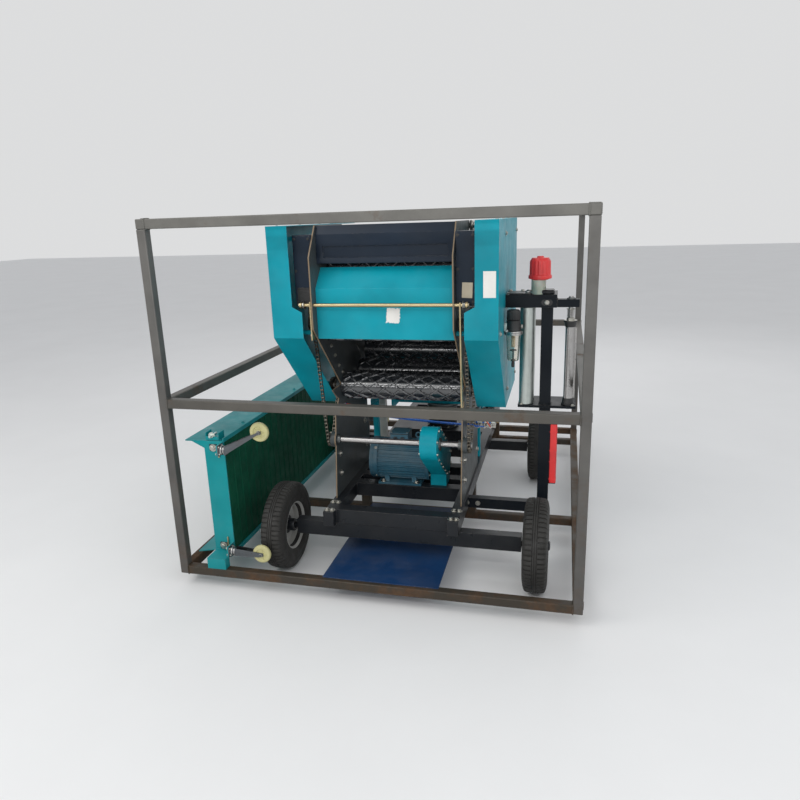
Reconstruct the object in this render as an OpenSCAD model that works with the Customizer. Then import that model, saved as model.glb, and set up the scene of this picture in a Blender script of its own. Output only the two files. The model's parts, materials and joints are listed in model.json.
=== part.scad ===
// Towed mini round baler and bale wrapper, standing in its welded transport frame.
// X runs across the machine, Y from the feed inlet to the wrapping table, Z up.
// The origin is on the floor at the middle of the transport frame.

/* [Transport frame] */
// Outside width of the transport frame
frame_w = 1800; // [1700:10:2000]
// Outside length of the transport frame
frame_l = 2350; // [2300:10:2600]
// Height of the welded frame from its own underside
frame_h = 1585; // [1560:5:1700]
// Height of the frame's underside over the floor
frame_lift = 60; // [40:5:80]
// Side of the frame's square tube
tube = 40; // [30:1:50]
// Height of the middle rails over the frame's underside
mid_rail_z = 795; // [600:5:900]
// Distance from the frame's front to the first bearer
bearer_1 = 800; // [760:5:850]
// Distance from the frame's back to the second bearer
bearer_back = 280; // [240:5:290]
// Thickness of the sheet on the base
deck_t = 3; // [2:0.5:6]

/* [Running gear] */
// Sideways place of the machine's middle in the frame
machine_x = 50; // [30:1:60]
// Distance from the frame's front to the fixed axle
axle_1 = 285; // [270:5:300]
// Distance from the frame's front to the steered axle
axle_2 = 1600; // [1580:5:1620]
// Distance of the fixed axle's right wheel from the machine's middle
half_track_1 = 650; // [630:5:660]
// Distance of the fixed axle's left wheel from the machine's middle, clear of the stowed conveyor
left_track = 530; // [520:1:540]
// Half of the steered axle's track
half_track_2 = 600; // [590:5:605]
// Outer radius of a tyre
tyre_r = 207.5; // [195:0.5:215]
// Width of a tyre
tyre_w = 106; // [90:1:112]
// Radius of the wheel rim under the tyre
rim_r = 108; // [100:1:115]
// Radius of the stub axles
stub_r = 12.5; // [10:0.5:16]
// Height of the axle beams
axle_h = 60; // [50:1:66]
// Width of the axle beams
axle_w = 50; // [40:1:60]
// Radius of the steered axle's king pin
king_r = 20; // [15:1:25]

/* [Chassis] */
// Height of a chassis rail
rail_h = 70; // [60:1:80]
// Width of a chassis rail
rail_w = 50; // [40:1:60]
// Length of the rails past the second bearer
rail_over = 5; // [0:1:40]
// Distance from the frame's front to the chassis
rail_y = 215; // [200:1:230]
// Width of the chassis cross members
cross_w = 60; // [50:1:70]
// Distance from the frame's front to the cross member behind the feed
cross_y = 900; // [890:5:910]
// Distance from the frame's front to the cross member under the ramp
ramp_cross_y = 1240; // [1230:5:1250]

/* [Bale chamber] */
// Distance from the frame's front to the chamber's axis
chamber_y = 685; // [675:1:700]
// Height of the chamber's axis over the floor
chamber_z = 1150; // [1130:5:1155]
// Clear width between the chamber's side plates
chamber_w = 600; // [560:5:620]
// Radius of the circle that the roller axes lie on
roller_ring = 335; // [330:1:345]
// Radius of the side plates round the chamber
plate_r = 410; // [405:1:415]
// Thickness of the side plates
plate_t = 6; // [4:0.5:8]
// Radius of a chamber roller's tube
roller_r = 55; // [50:0.5:57]
// Height of the ribs on a roller
rib_h = 8; // [5:0.5:8]
// Width of a rib on a roller
rib_w = 8; // [6:0.5:12]
// Wall of a roller's tube
roller_wall = 5; // [4:0.5:8]
// Ribs that run round a roller each way
rib_count = 4; // [3:1:5]
// Length along a roller in which a rib goes once round it
rib_lead = 510; // [450:5:600]
// Angle between neighbouring rollers on the ring
roller_step = 24; // [24:0.1:24.4]
// Radius of the roller shafts
shaft_r = 15; // [12:0.5:16]
// Radius of a flanged bearing housing
bearing_r = 38; // [30:1:40]
// Depth of a flanged bearing housing
bearing_t = 22; // [16:1:22]
// Height of the gate's hinge over the chamber's axis
hinge_up = 425; // [422:1:430]
// Distance of the gate's hinge before the chamber's axis
hinge_before = 20; // [18:1:22]
// Distance from the frame's front to the side plates
plate_y = 215; // [213:1:218]
// Radius of the gate's hinge pins
hinge_r = 12; // [10:0.5:14]

/* [Guards and inlet] */
// Half of the width over both guards
guard_out = 485; // [475:1:500]
// Width of a guard's front above its step
guard_w_top = 95; // [85:1:105]
// Width of a guard's front below its step
guard_w_low = 138; // [130:1:138]
// Distance from the frame's front to the guards
guard_y = 212; // [210:1:220]
// Length of the guards
guard_l = 938; // [900:2:960]
// Height of the guards' top over the floor
guard_top = 1600; // [1590:1:1604]
// Height of the fold in a guard's front
guard_fold = 1130; // [1110:5:1140]
// Height of a guard's lower edge
guard_low = 742; // [740:1:760]
// Thickness of the guards' sheet
sheet_t = 3; // [2:0.5:4]
// Distance from the frame's front to the baffle
baffle_y = 265; // [260:1:268]
// Height of the baffle's lower edge
baffle_low = 1120; // [1110:2:1130]
// Height of the baffle's fold
baffle_fold = 1336; // [1320:2:1350]
// Radius of the lever shaft
lever_shaft_r = 8; // [6:0.5:8]
// Height of the lever shaft over the floor
lever_z = 1270; // [1265:1:1275]
// Length of the short lever on the lever shaft
lever_l = 150; // [120:2:160]
// Length of the long lever that works the drive
long_lever_l = 440; // [400:5:450]

/* [Drive] */
// Distance from the frame's front to the drive shaft
drive_y = 440; // [430:1:450]
// Height of the drive shaft over the floor
drive_z = 600; // [580:5:620]
// Pitch radius of the roller sprockets
sprocket_r = 31; // [28:1:32]
// Thickness of a sprocket
sprocket_t = 7; // [5:0.5:8]
// Width over a chain's plates
chain_w = 14; // [12:1:14]
// Depth of a chain's plates
chain_h = 14; // [12:1:16]
// Radius of the motor's body
motor_r = 105; // [90:1:110]
// Length of the motor's body
motor_l = 300; // [250:5:320]

/* [Gate cylinders] */
// Radius of a gate cylinder's barrel
barrel_r = 25; // [22:0.5:26]
// Radius of a gate cylinder's rod
rod_r = 10; // [8:0.5:12]
// Radius of a gate cylinder's pins
pin_r = 10; // [8:0.5:12]

/* [Wrapping table] */
// Height of the table rollers' axes over the floor
table_z = 615; // [600:5:630]
// Half of the distance between the table rollers
table_half = 160; // [150:1:170]
// Radius of a table roller
table_roller_r = 45; // [40:1:50]
// Length of a table roller
table_roller_l = 540; // [520:2:560]
// Radius of the table's bearing
table_hub_r = 90; // [70:1:100]

/* [Film stretcher] */
// Reach of the film arm from the mast to the frame's side
film_reach = 150; // [145:1:155]
// Distance from the frame's front to the mast
mast_y = 550; // [545:1:560]
// Height of the stretcher's base plate
film_low = 770; // [760:1:780]
// Height of the stretcher's top arm
film_top = 1222; // [1200:2:1240]
// Radius of a stretch roller
film_roller_r = 32; // [28:1:34]

/* [Control cabinet] */
// Distance from the frame's front to the cabinet
cabinet_y = 1190; // [1180:5:1200]
// Height of the cabinet's underside over the floor
cabinet_z = 780; // [760:5:800]
// Width of the cabinet's door
door_w = 260; // [240:2:270]
// Height of the cabinet
cabinet_h = 400; // [360:5:420]
// Depth of the cabinet
cabinet_d = 180; // [150:5:190]

/* [Feed conveyor] */
// Width of the stowed conveyor
belt_w = 540; // [500:5:560]
// Depth of the conveyor's side frames
belt_d = 98; // [90:1:100]
// Distance from the frame's front to the conveyor
conv_front = 90; // [85:1:95]
// Distance from the frame's back to the conveyor
conv_back = 245; // [240:5:260]
// Width of the conveyor's flared walls
flare_w = 92; // [80:1:95]
// Radius of a caster's wheel
caster_r = 43; // [38:1:43]
// Width of a caster's wheel
caster_w = 22; // [20:1:24]

/* [Hidden] */
$fn = 64;

fit = 0.05;
seat = 0.3;
clear = 5;
teal = [0.13, 0.52, 0.55];
dark = [0.12, 0.12, 0.13];
steel = [0.6, 0.62, 0.62];
front = -frame_l / 2;
mx = machine_x;
rail_z = tyre_r + axle_h / 2 + 12.5;
rail_top = rail_z + rail_h;
half_w = chamber_w / 2;
rail_x = half_w - 10;
bearer_2 = frame_l - bearer_back;
rail_l = bearer_2 + tube + rail_over - rail_y;
// Inner face of the frame's side, and outer face of the left rear tyre
side_in = frame_w / 2 - tube;
tyre_side = half_track_2 + tyre_w / 2 - mx;
cy = front + chamber_y;
hinge_y = cy - hinge_before;
hinge_z = chamber_z + hinge_up;
row_1 = half_w + plate_t + bearing_t + 10;
row_2 = row_1 + 20;
cyl_x = half_w + plate_t + bearing_t + 48;
// Rollers on the ring: four above the inlet and three below it are fixed, six are on the gate
fixed_angles = [for (i = [0, 1, 2, 3, 6, 7, 8]) 106 + i * roller_step];
gate_angles = [for (i = [9 : 14]) 106 + i * roller_step];
function ring(a) = [cy + roller_ring * cos(a), chamber_z + roller_ring * sin(a)];

// A flat outline drawn across (Y, Z), extruded from x to x + t
module sheet_x(x, t) {
  translate([x, 0, 0]) rotate([90, 0, 90]) linear_extrude(t) children();
}
// A cylinder along X
module rod_x(r, x0, x1, y, z) {
  translate([x0, y, z]) rotate([0, 90, 0]) cylinder(r = r, h = x1 - x0);
}
module box(x0, x1, y0, y1, z0, z1) {
  translate([x0, y0, z0]) cube([x1 - x0, y1 - y0, z1 - z0]);
}
// Both sides of the machine, mirrored about its middle
module both_sides() {
  for (side = [0, 1]) translate([mx, 0, 0]) mirror([side, 0, 0]) children();
}

// Transport frame

module transport_posts() color("dimgray")
  for (x = [-frame_w / 2, frame_w / 2 - tube], y = [front, -front - tube])
    translate([x, y, frame_lift]) cube([tube, tube, frame_h - tube]);

module transport_rails() color("dimgray") {
  for (y = [front, -front - tube]) {
    translate([-frame_w / 2, y, frame_lift + frame_h - tube]) cube([frame_w, tube, tube]);
    for (z = [0, mid_rail_z])
      translate([tube - frame_w / 2, y, frame_lift + z]) cube([frame_w - 2 * tube, tube, tube]);
  }
  for (x = [-frame_w / 2, side_in], z = [0, mid_rail_z, frame_h - tube])
    translate([x, front + tube, frame_lift + z]) cube([tube, frame_l - 2 * tube, tube]);
}

// Bearers across the base, with the blocks that hang them under the chassis
module transport_bearers() color("dimgray")
  for (d = [bearer_1, bearer_2]) {
    translate([-side_in, front + d, frame_lift]) cube([2 * side_in, tube, tube]);
    for (s = [-1, 1]) {
      x = mx + s * rail_x;
      box(x - rail_w / 2, x + rail_w / 2, front + d, front + d + tube, frame_lift + tube, rail_z);
    }
  }

module deck_sheet() color([0.12, 0.16, 0.3])
  box(mx - rail_x + rail_w / 2 + clear, mx + rail_x - rail_w / 2 - clear, front + tube / 2,
    front + bearer_1 + tube / 2, frame_lift + tube, frame_lift + tube + deck_t);

// Chassis and running gear

motor_cross = 60;
table_plate = 110;
module chassis() color(dark) {
  inner = rail_x - rail_w / 2;
  for (s = [-1, 1])
    translate([mx + s * rail_x - rail_w / 2, front + rail_y, rail_z]) cube([rail_w, rail_l, rail_h]);
  for (d = [axle_1, motor_y - motor_cross, motor_y + motor_cross, cross_y, ramp_cross_y,
      rail_y + rail_l - cross_w / 2])
    box(mx - inner, mx + inner, front + d - cross_w / 2, front + d + cross_w / 2, rail_z, rail_top);
  box(mx - inner, mx + inner, front + axle_2 - table_plate, front + axle_2 + table_plate, rail_z, rail_top);
}

hub_gap = 10;
stub_over = 55;
module front_axle() color(dark) {
  y = front + axle_1;
  hub = tyre_w / 2 + hub_gap;
  box(mx - left_track + hub, mx + half_track_1 - hub, y - axle_w / 2, y + axle_w / 2, tyre_r - axle_h / 2, rail_z);
  rod_x(stub_r, mx - left_track - stub_over, mx + half_track_1 + stub_over, y, tyre_r);
}

// The steered axle turns on a king pin under the chassis, and a pulling bar bolts on its flange
flange_y = 110;
flange_t = 12;
flange_low = 45;
module steer_axle() color(dark) {
  y = front + axle_2;
  reach = half_track_2 - tyre_w / 2 - hub_gap;
  box(mx - reach, mx + reach, y - axle_w / 2, y + axle_w / 2, tyre_r - axle_h / 2, tyre_r + axle_h / 2);
  rod_x(stub_r, mx - half_track_2 - stub_over, mx + half_track_2 + stub_over, y, tyre_r);
  translate([mx, y, tyre_r]) cylinder(r = 2.5 * king_r, h = rail_z - tyre_r - seat);
  box(mx - axle_w / 2, mx + axle_w / 2, y, y + flange_y, tyre_r - axle_h / 2, tyre_r + axle_h / 2);
  difference() {
    box(mx - 70, mx + 70, y + flange_y, y + flange_y + flange_t, tyre_r - flange_low, rail_z - clear - 1);
    for (sx = [-1, 1], sz = [-1, 1])
      translate([mx + sx * 52, y + flange_y - 1, tyre_r + sz * 24]) rotate([-90, 0, 0])
        cylinder(r = 7, h = flange_t + 2);
  }
}

module wheel_at(x, y) {
  translate([x, y, tyre_r]) rotate([0, 90, 0]) {
    difference() {
      rotate_extrude() tyre_profile();
      translate([0, 0, -tyre_w]) cylinder(r = stub_r + fit, h = 2 * tyre_w);
    }
  }
}
module tyre_profile() {
  w = tyre_w / 2;
  polygon([[stub_r, -45], [30, -45], [30, -8], [rim_r - 12, -4], [rim_r - 6, 34 - w], [rim_r - 2, 10 - w],
    [rim_r + 6, 6 - w], [rim_r + 30, -w], [tyre_r - 42, -w], [tyre_r - 12, 8 - w], [tyre_r, 24 - w],
    [tyre_r, w - 24], [tyre_r - 12, w - 8], [tyre_r - 42, w], [rim_r + 30, w], [rim_r + 6, w - 6],
    [rim_r - 2, w - 10], [rim_r - 6, w - 34], [rim_r - 12, 4], [30, 8], [30, 45], [stub_r, 45]]);
}
module tyres_front_left() color(dark) wheel_at(mx - left_track, front + axle_1);
module tyres_front_right() color(dark) wheel_at(mx + half_track_1, front + axle_1);
module tyres_rear_left() color(dark) wheel_at(mx - half_track_2, front + axle_2);
module tyres_rear_right() color(dark) wheel_at(mx + half_track_2, front + axle_2);

// Bale chamber: two side plates, five fixed rollers, and a gate with four

// The gate parts from the fixed plates along a line below the hinge, then halfway between two rollers
split_gap = 4;
split_y = hinge_y + split_gap;
far = plate_r * 2;
split_drop = 694;
split_run = split_drop * 0.903;
hinge_drop = 30;
module gate_region(gap = 0, top = -hinge_drop)
  polygon([[split_y - gap, hinge_z + top], [split_y - gap, chamber_z],
    [split_y + split_run - gap, chamber_z - split_drop], [cy + far, chamber_z - far], [cy + far, hinge_z + top]]);
module plate_disc() translate([cy, chamber_z]) circle(r = plate_r, $fn = 128);

// The fixed plate's front runs down to a corner and then back at 45 degrees, beside the guard's fold
plate_corner = guard_fold + 38;
plate_low = chamber_z - 300;
mouth_y = front + plate_y + plate_corner - plate_low;
module fixed_outline() {
  difference() {
    union() {
      plate_disc();
      polygon([[front + plate_y, plate_corner], [front + plate_y, guard_top - 130],
        [front + plate_y + 90, guard_top - 2], [hinge_y, guard_top - 2], [hinge_y, chamber_z], [mouth_y, plate_low]]);
      polygon([[front + 380, rail_top], [front + 960, rail_top], [front + 930, plate_low],
        [mouth_y, plate_low], [front + 430, 720]]);
    }
    gate_region(split_gap, plate_r);
    polygon([[front + plate_y - 1, plate_corner - 1], [mouth_y, plate_low], [front + plate_y - 1, plate_low]]);
  }
}

hinge_wall = 8;
module side_plate() {
  difference() {
    union() {
      sheet_x(half_w, plate_t) fixed_outline();
      for (a = fixed_angles)
        rod_x(bearing_r, half_w, half_w + plate_t + bearing_t, ring(a)[0], ring(a)[1]);
      rod_x(bearing_r, half_w, half_w + plate_t + bearing_t, front + drive_y, drive_z);
      rod_x(hinge_r + hinge_wall, half_w, half_w + plate_t, hinge_y, hinge_z);
      rod_x(hinge_r, half_w, half_w + plate_t + bearing_t, hinge_y, hinge_z);
      rod_x(pin_r, half_w, cyl_x + 14, barrel_y, barrel_z);
      rod_x(22, half_w, cyl_x - barrel_r - 1, barrel_y, barrel_z);
    }
    for (a = fixed_angles)
      rod_x(shaft_r + fit, half_w - 1, half_w + 50, ring(a)[0], ring(a)[1]);
    rod_x(shaft_r + fit, half_w - 1, half_w + 50, front + drive_y, drive_z);
    rod_x(pipe_r + 1, half_w - 1, half_w + 50, front + pipe_y, pipe_z);
    rod_x(lever_shaft_r + fit, half_w - 1, half_w + 50, lever_y, lever_z);
  }
}
module side_plate_left() color([0.33, 0.36, 0.36]) translate([mx, 0, 0]) mirror([1, 0, 0]) side_plate();
module side_plate_right() color([0.33, 0.36, 0.36]) translate([mx, 0, 0]) side_plate();

// A roller turns in its bearings, and carries welded ribs that cross round its tube
end_gap = 3;
rib_end = 12;
// The gate's rollers swing past the fixed plates, so they end further from them
gate_gap = 10;
sprocket_over = 8;
module ribbed_roller(a, sprockets, gap = end_gap) {
  half = half_w - gap;
  reach = max(concat([shaft_end], sprockets)) + sprocket_over;
  ribbed = half - rib_end;
  turn = 360 * 2 * ribbed / rib_lead;
  translate([mx, ring(a)[0], ring(a)[1]]) rotate([0, 90, 0]) {
    rotate_extrude() polygon([[0, -reach], [shaft_r, -reach], [shaft_r, -half], [roller_r, -half], [roller_r, half],
      [shaft_r, half], [shaft_r, reach], [0, reach], [0, half - 8], [roller_r - roller_wall, half - 8],
      [roller_r - roller_wall, 8 - half], [0, 8 - half]]);
    for (i = [0 : rib_count - 1], way = [-1, 1])
      rotate([0, 0, 360 * i / rib_count])
        translate([0, 0, -ribbed]) linear_extrude(2 * ribbed, twist = way * turn, slices = rib_slices, $fn = 4)
          translate([roller_r - 2, -rib_w / 2]) square([rib_h + 2, rib_w]);
    for (row = sprockets)
      translate([0, 0, row - sprocket_t / 2]) cylinder(r = sprocket_r - chain_h / 2, h = sprocket_t);
  }
}
rib_slices = 12;
inner_rows = [row_1, -row_1];
outer_rows = [row_2, -row_2];
shaft_end = row_1 - 14;
module roller_1() color(dark) ribbed_roller(fixed_angles[0], outer_rows);
module roller_2() color(dark) ribbed_roller(fixed_angles[1], outer_rows);
module roller_3() color(dark) ribbed_roller(fixed_angles[2], outer_rows);
module roller_4() color(dark) ribbed_roller(fixed_angles[3], concat(inner_rows, outer_rows));
module roller_5() color(dark) ribbed_roller(fixed_angles[4], concat(inner_rows, outer_rows));
module roller_6() color(dark) ribbed_roller(fixed_angles[5], concat(inner_rows, outer_rows));
module roller_7() color(dark) ribbed_roller(fixed_angles[6], inner_rows);
module gate_roller_1() color(dark) ribbed_roller(gate_angles[0], [], gate_gap);
module gate_roller_2() color(dark) ribbed_roller(gate_angles[1], [], gate_gap);
module gate_roller_3() color(dark) ribbed_roller(gate_angles[2], [], gate_gap);
module gate_roller_4() color(dark) ribbed_roller(gate_angles[3], [], gate_gap);
module gate_roller_5() color(dark) ribbed_roller(gate_angles[4], [], gate_gap);
module gate_roller_6() color(dark) ribbed_roller(gate_angles[5], [], gate_gap);

// The gate's eye for the rod lies on a boss
eye_y = hinge_y + 230;
eye_z = hinge_z - 260;
barrel_y = front + 920;
barrel_z = 600;
eye_half = rod_r + 0.5;
lug_x = half_w + plate_t + clear;
lug_t = 8;
module gate_half() {
  difference() {
    union() {
      sheet_x(half_w, plate_t) intersection() {
        plate_disc();
        gate_region();
      }
      // hinge lug, stepped out past the fixed plate
      sheet_x(half_w + plate_t, lug_x + lug_t - half_w - plate_t) intersection() {
        translate([hinge_y + 20, hinge_z - 160]) square([120, 160 - hinge_drop - 15]);
        plate_disc();
      }
      sheet_x(lug_x, lug_t) polygon([[hinge_y - 20, hinge_z + 22], [hinge_y + 22, hinge_z + 22],
        [hinge_y + 140, hinge_z - 60], [hinge_y + 140, hinge_z - 150], [hinge_y + 20, hinge_z - 150],
        [hinge_y - 20, hinge_z - 20]]);
      for (a = gate_angles)
        rod_x(bearing_r, half_w, half_w + plate_t + bearing_t, ring(a)[0], ring(a)[1]);
      rod_x(22, half_w, cyl_x - eye_half - seat, eye_y, eye_z);
    }
    rod_x(hinge_r + fit, lug_x - 1, lug_x + lug_t + 1, hinge_y, hinge_z);
    for (a = gate_angles)
      rod_x(shaft_r + fit, half_w - 1, half_w + 50, ring(a)[0], ring(a)[1]);
  }
}
cross_r = 17;
cross_ring = plate_r - 25;
module gate_plates() color([0.33, 0.36, 0.36]) {
  both_sides() gate_half();
  for (a = [gate_angles[1] - 360, gate_angles[3] - 360, gate_angles[5] - 360])
    rod_x(cross_r, mx - half_w, mx + half_w, cy + cross_ring * cos(a - roller_step / 2),
      chamber_z + cross_ring * sin(a - roller_step / 2));
}

// Gate cylinders, one outside each plate, from the pedestal up to the gate

cyl_run = [eye_y - barrel_y, eye_z - barrel_z];
cyl_len = norm(cyl_run);
cyl_tilt = atan2(cyl_run[0], cyl_run[1]);
barrel_len = 560;
module barrel() {
  difference() {
    union() {
      rotate([0, 90, 0]) translate([0, 0, -11]) cylinder(r = 20, h = 22);
      cylinder(r = barrel_r, h = barrel_len);
    }
    translate([-50, 0, 0]) rotate([0, 90, 0]) cylinder(r = pin_r + fit, h = 100);
    translate([0, 0, 60]) cylinder(r = rod_r + fit, h = barrel_len);
    translate([-50, -30, -30]) cube([39, 60, 55]);
    translate([11, -30, -30]) cube([39, 60, 55]);
  }
}
module rod() {
  translate([0, 0, 80]) cylinder(r = rod_r, h = cyl_len - 80 - 10);
  translate([0, 0, cyl_len]) rotate([0, 90, 0]) translate([0, 0, -eye_half]) cylinder(r = 20, h = 2 * eye_half);
}
module on_cylinder(s) translate([mx + s * cyl_x, barrel_y, barrel_z]) rotate([-cyl_tilt, 0, 0]) children();
module gate_barrel_left() color(steel) on_cylinder(-1) barrel();
module gate_barrel_right() color(steel) on_cylinder(1) barrel();
module gate_rod_left() color(steel) on_cylinder(-1) rod();
module gate_rod_right() color(steel) on_cylinder(1) rod();

// Guards: folded sheet round the chains on each side

module guard_front() {
  step_low = guard_fold + 111;
  step_high = step_low + 23;
  x0 = guard_out - guard_w_low;
  x1 = guard_out - guard_w_top;
  polygon([[x0, guard_fold], [guard_out, guard_fold], [guard_out, guard_top], [x1, guard_top],
    [x1, step_high], [x0, step_low]]);
}
spacer_r = 10;
module guard() {
  y0 = front + guard_y;
  fall = guard_fold - guard_low;
  translate([0, y0 + sheet_t, 0]) rotate([90, 0, 0]) linear_extrude(sheet_t) guard_front();
  sheet_x(guard_out - sheet_t, sheet_t)
    polygon([[y0, guard_top], [y0 + guard_l, guard_top], [y0 + guard_l, guard_low],
      [y0 + fall, guard_low], [y0, guard_fold]]);
  // lower front face, folded back at 45 degrees
  sheet_x(guard_out - guard_w_low, guard_w_low) polygon([[y0, guard_fold], [y0 + sheet_t, guard_fold],
    [y0 + fall + sheet_t, guard_low], [y0 + fall, guard_low]]);
  box(guard_out - guard_w_top, guard_out, y0, y0 + guard_l, guard_top - sheet_t, guard_top);
  for (p = [[500, guard_top - 60], [guard_y + 68, guard_fold + 15], [guard_y + fall + 40, guard_low + 83]])
    rod_x(spacer_r, half_w + plate_t, guard_out - sheet_t / 2, front + p[0], p[1]);
}
module guard_left() color(teal) translate([mx, 0, 0]) mirror([1, 0, 0]) guard();
module guard_right() color(teal) translate([mx, 0, 0]) guard();

fold_back = 77;
fold_up = 85;
module inlet_baffle() color(teal) {
  y = front + baffle_y;
  sheet_x(mx - half_w, chamber_w) polygon([[y, baffle_low], [y + sheet_t, baffle_low],
    [y + sheet_t, baffle_fold - 1], [y + fold_back + sheet_t, baffle_fold + fold_up - 2],
    [y + fold_back, baffle_fold + fold_up], [y, baffle_fold]]);
}

// The lever shaft lies in the side plates' front, with a short lever left and a long one right
lever_y = front + plate_y + 17;
lever_t = 6;
lever_out = half_w + plate_t + 2;
long_lever_back = 25;
module lever_shaft() color([0.75, 0.62, 0.3]) {
  rod_x(lever_shaft_r, mx - lever_out - 58, mx + lever_out + 58, lever_y, lever_z);
  difference() {
    flat_lever(mx - lever_out - lever_t, lever_l, 15, 0);
    rod_x(4, mx - lever_out - 10, mx - lever_out + 5, lever_y, lever_z - lever_l + 20);
  }
  flat_lever(mx + lever_out + 18, long_lever_l, 11, long_lever_back);
  for (s = [-1, 1])
    rod_x(lever_shaft_r + 5, mx + s * (lever_out + 48) - 5, mx + s * (lever_out + 48) + 5, lever_y, lever_z);
}
// A flat lever of a length and a half width, whose low end lies back by a distance
module flat_lever(x, l, half, back)
  sheet_x(x, lever_t) polygon([[lever_y - half, lever_z + half], [lever_y + half, lever_z + half],
    [lever_y + half + back, lever_z - l], [lever_y - half + back, lever_z - l]]);

// The binder over the inlet, and a black box in the front of each guard
binder_y = 300;
binder_deep = 100;
binder_low = 1438;
binder_top = guard_top - 4;
box_y = 258;
box_deep = 60;
module binder_box() color(dark) {
  y0 = front + binder_y;
  y1 = y0 + binder_deep;
  difference() {
    sheet_x(mx - half_w, chamber_w)
      polygon([[y0, binder_low], [y1, binder_low], [y1, binder_top], [y0 + 20, binder_top], [y0, binder_top - 36]]);
    box(mx - half_w + 30, mx + half_w - 30, y0 - 5, y0 + 7, binder_low + 24, binder_low + 72);
  }
  both_sides() box(half_w + plate_t, guard_out - guard_w_top - 2, front + box_y, front + box_y + box_deep,
    guard_fold + 134, guard_top - 40);
}

// Drive: motor and belt case under the chamber, shaft through both side plates

module drive_shaft() color(steel) {
  reach = row_1 + 10;
  rod_x(shaft_r, mx - reach, mx + reach, front + drive_y, drive_z);
  for (row = inner_rows)
    translate([mx + row - sprocket_t / 2, front + drive_y, drive_z]) rotate([0, 90, 0])
      cylinder(r = sprocket_r - chain_h / 2, h = sprocket_t);
}
module loop_outline(points, r) hull() for (p = points) translate(p) circle(r = r, $fn = 32);
module chain_loop(points) {
  difference() {
    loop_outline(points, sprocket_r + chain_h / 2);
    loop_outline(points, sprocket_r - chain_h / 2 + 1);
  }
}
// Loops of chain on each side: the row, then the sprockets in each loop
drive_at = [front + drive_y, drive_z];
chain_loops = [
  [row_1, [ring(fixed_angles[3]), ring(fixed_angles[4]), drive_at]],
  [row_2, [for (i = [0 : 3]) ring(fixed_angles[i])]],
  [row_2, [ring(fixed_angles[4]), ring(fixed_angles[5])]],
  [row_1, [ring(fixed_angles[5]), ring(fixed_angles[6])]]];
module drive_chains() color([0.25, 0.24, 0.22]) both_sides()
  for (loop = chain_loops)
    sheet_x(loop[0] - chain_w / 2, chain_w) chain_loop(loop[1]);
motor_y = 670;
motor_z = rail_top + 115;
fin_count = 30;
module drive_motor() color([0.25, 0.3, 0.32]) {
  y = front + motor_y;
  x0 = mx - 190;
  rod_x(motor_r - 12, x0, x0 + motor_l, y, motor_z);
  for (x = [x0, x0 + motor_l - 14])
    rod_x(motor_r, x, x + 14, y, motor_z);
  translate([x0 + 10, y, motor_z]) rotate([0, 90, 0])
    for (i = [0 : fin_count - 1])
      rotate([0, 0, 360 * i / fin_count])
        translate([motor_r - 14, -2, 0]) cube([12, 4, motor_l - 20]);
  box(mx - 150, mx + 70, y - 85, y + 85, rail_top, rail_top + 12);
  for (x = [mx - 120, mx + 20])
    box(x, x + 24, y - 70, y + 70, rail_top + 12, motor_z);
  box(mx - 90, mx, y - 45, y + 45, motor_z + 60, motor_z + motor_r + 40);
}
// Case of the belt drive from the motor to the drive shaft
case_x = 115;
case_w = 80;
module drive_case() color(teal) {
  difference() {
    sheet_x(mx + case_x, case_w) loop_outline([[front + motor_y, motor_z], drive_at], case_w);
    rod_x(shaft_r + fit, mx + case_x - 5, mx + case_x + case_w + 5, front + drive_y, drive_z);
  }
  box(mx + case_x, mx + case_x + case_w, front + motor_y - 60, front + motor_y + 40, rail_top, motor_z);
}

cabinet_x = mx - half_w - 130;
cabinet_t = 3;
door_t = 16;
hinge_pin = 6;
door_hinge = [cabinet_x - cabinet_d - hinge_pin - 1, front + cabinet_y + door_w + hinge_pin + 1];
// Knuckles of the door's two hinges, from a height, and the leaf that joins them to a face
module knuckles(from, l)
  for (z = [cabinet_z + 50, cabinet_z + cabinet_h - 110])
    translate([door_hinge[0], door_hinge[1], z + from]) cylinder(r = hinge_pin, h = l);
module control_cabinet() color([0.75, 0.75, 0.72]) {
  x1 = cabinet_x;
  y0 = front + cabinet_y;
  difference() {
    box(x1 - cabinet_d, x1, y0, y0 + door_w, cabinet_z, cabinet_z + cabinet_h);
    box(x1 - cabinet_d - 1, x1 - cabinet_t, y0 + cabinet_t, y0 + door_w - cabinet_t, cabinet_z + cabinet_t,
      cabinet_z + cabinet_h - cabinet_t);
  }
  for (z = [cabinet_z + 50, cabinet_z + cabinet_h - 110], from = [0, 42])
    box(door_hinge[0], x1 - cabinet_d + 14, y0 + door_w, door_hinge[1], z + from, z + from + 18);
  knuckles(0, 18);
  knuckles(42, 18);
  // post on the chassis rail and an arm to the cabinet's back
  box(mx - rail_x - 20, mx - rail_x + 20, y0 + 10, y0 + 50, rail_top, cabinet_z + 80);
  box(x1, mx - rail_x - 20, y0 + 10, y0 + 50, cabinet_z + 40, cabinet_z + 80);
}
module cabinet_door() color([0.75, 0.75, 0.72]) {
  x0 = cabinet_x - cabinet_d;
  y0 = front + cabinet_y;
  box(x0 - door_t, x0 - seat, y0, y0 + door_w, cabinet_z, cabinet_z + cabinet_h);
  knuckles(18 + seat, 24 - 2 * seat);
  for (z = [cabinet_z + 50, cabinet_z + cabinet_h - 110])
    box(x0 - door_t, door_hinge[0], y0 + door_w - 5, door_hinge[1], z + 18 + seat, z + 42 - seat);
  // handle
  z1 = cabinet_z + cabinet_h / 2;
  box(x0 - door_t - 12, x0 - door_t, y0 + 24, y0 + 36, z1 - 40, z1 + 40);
}

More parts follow.
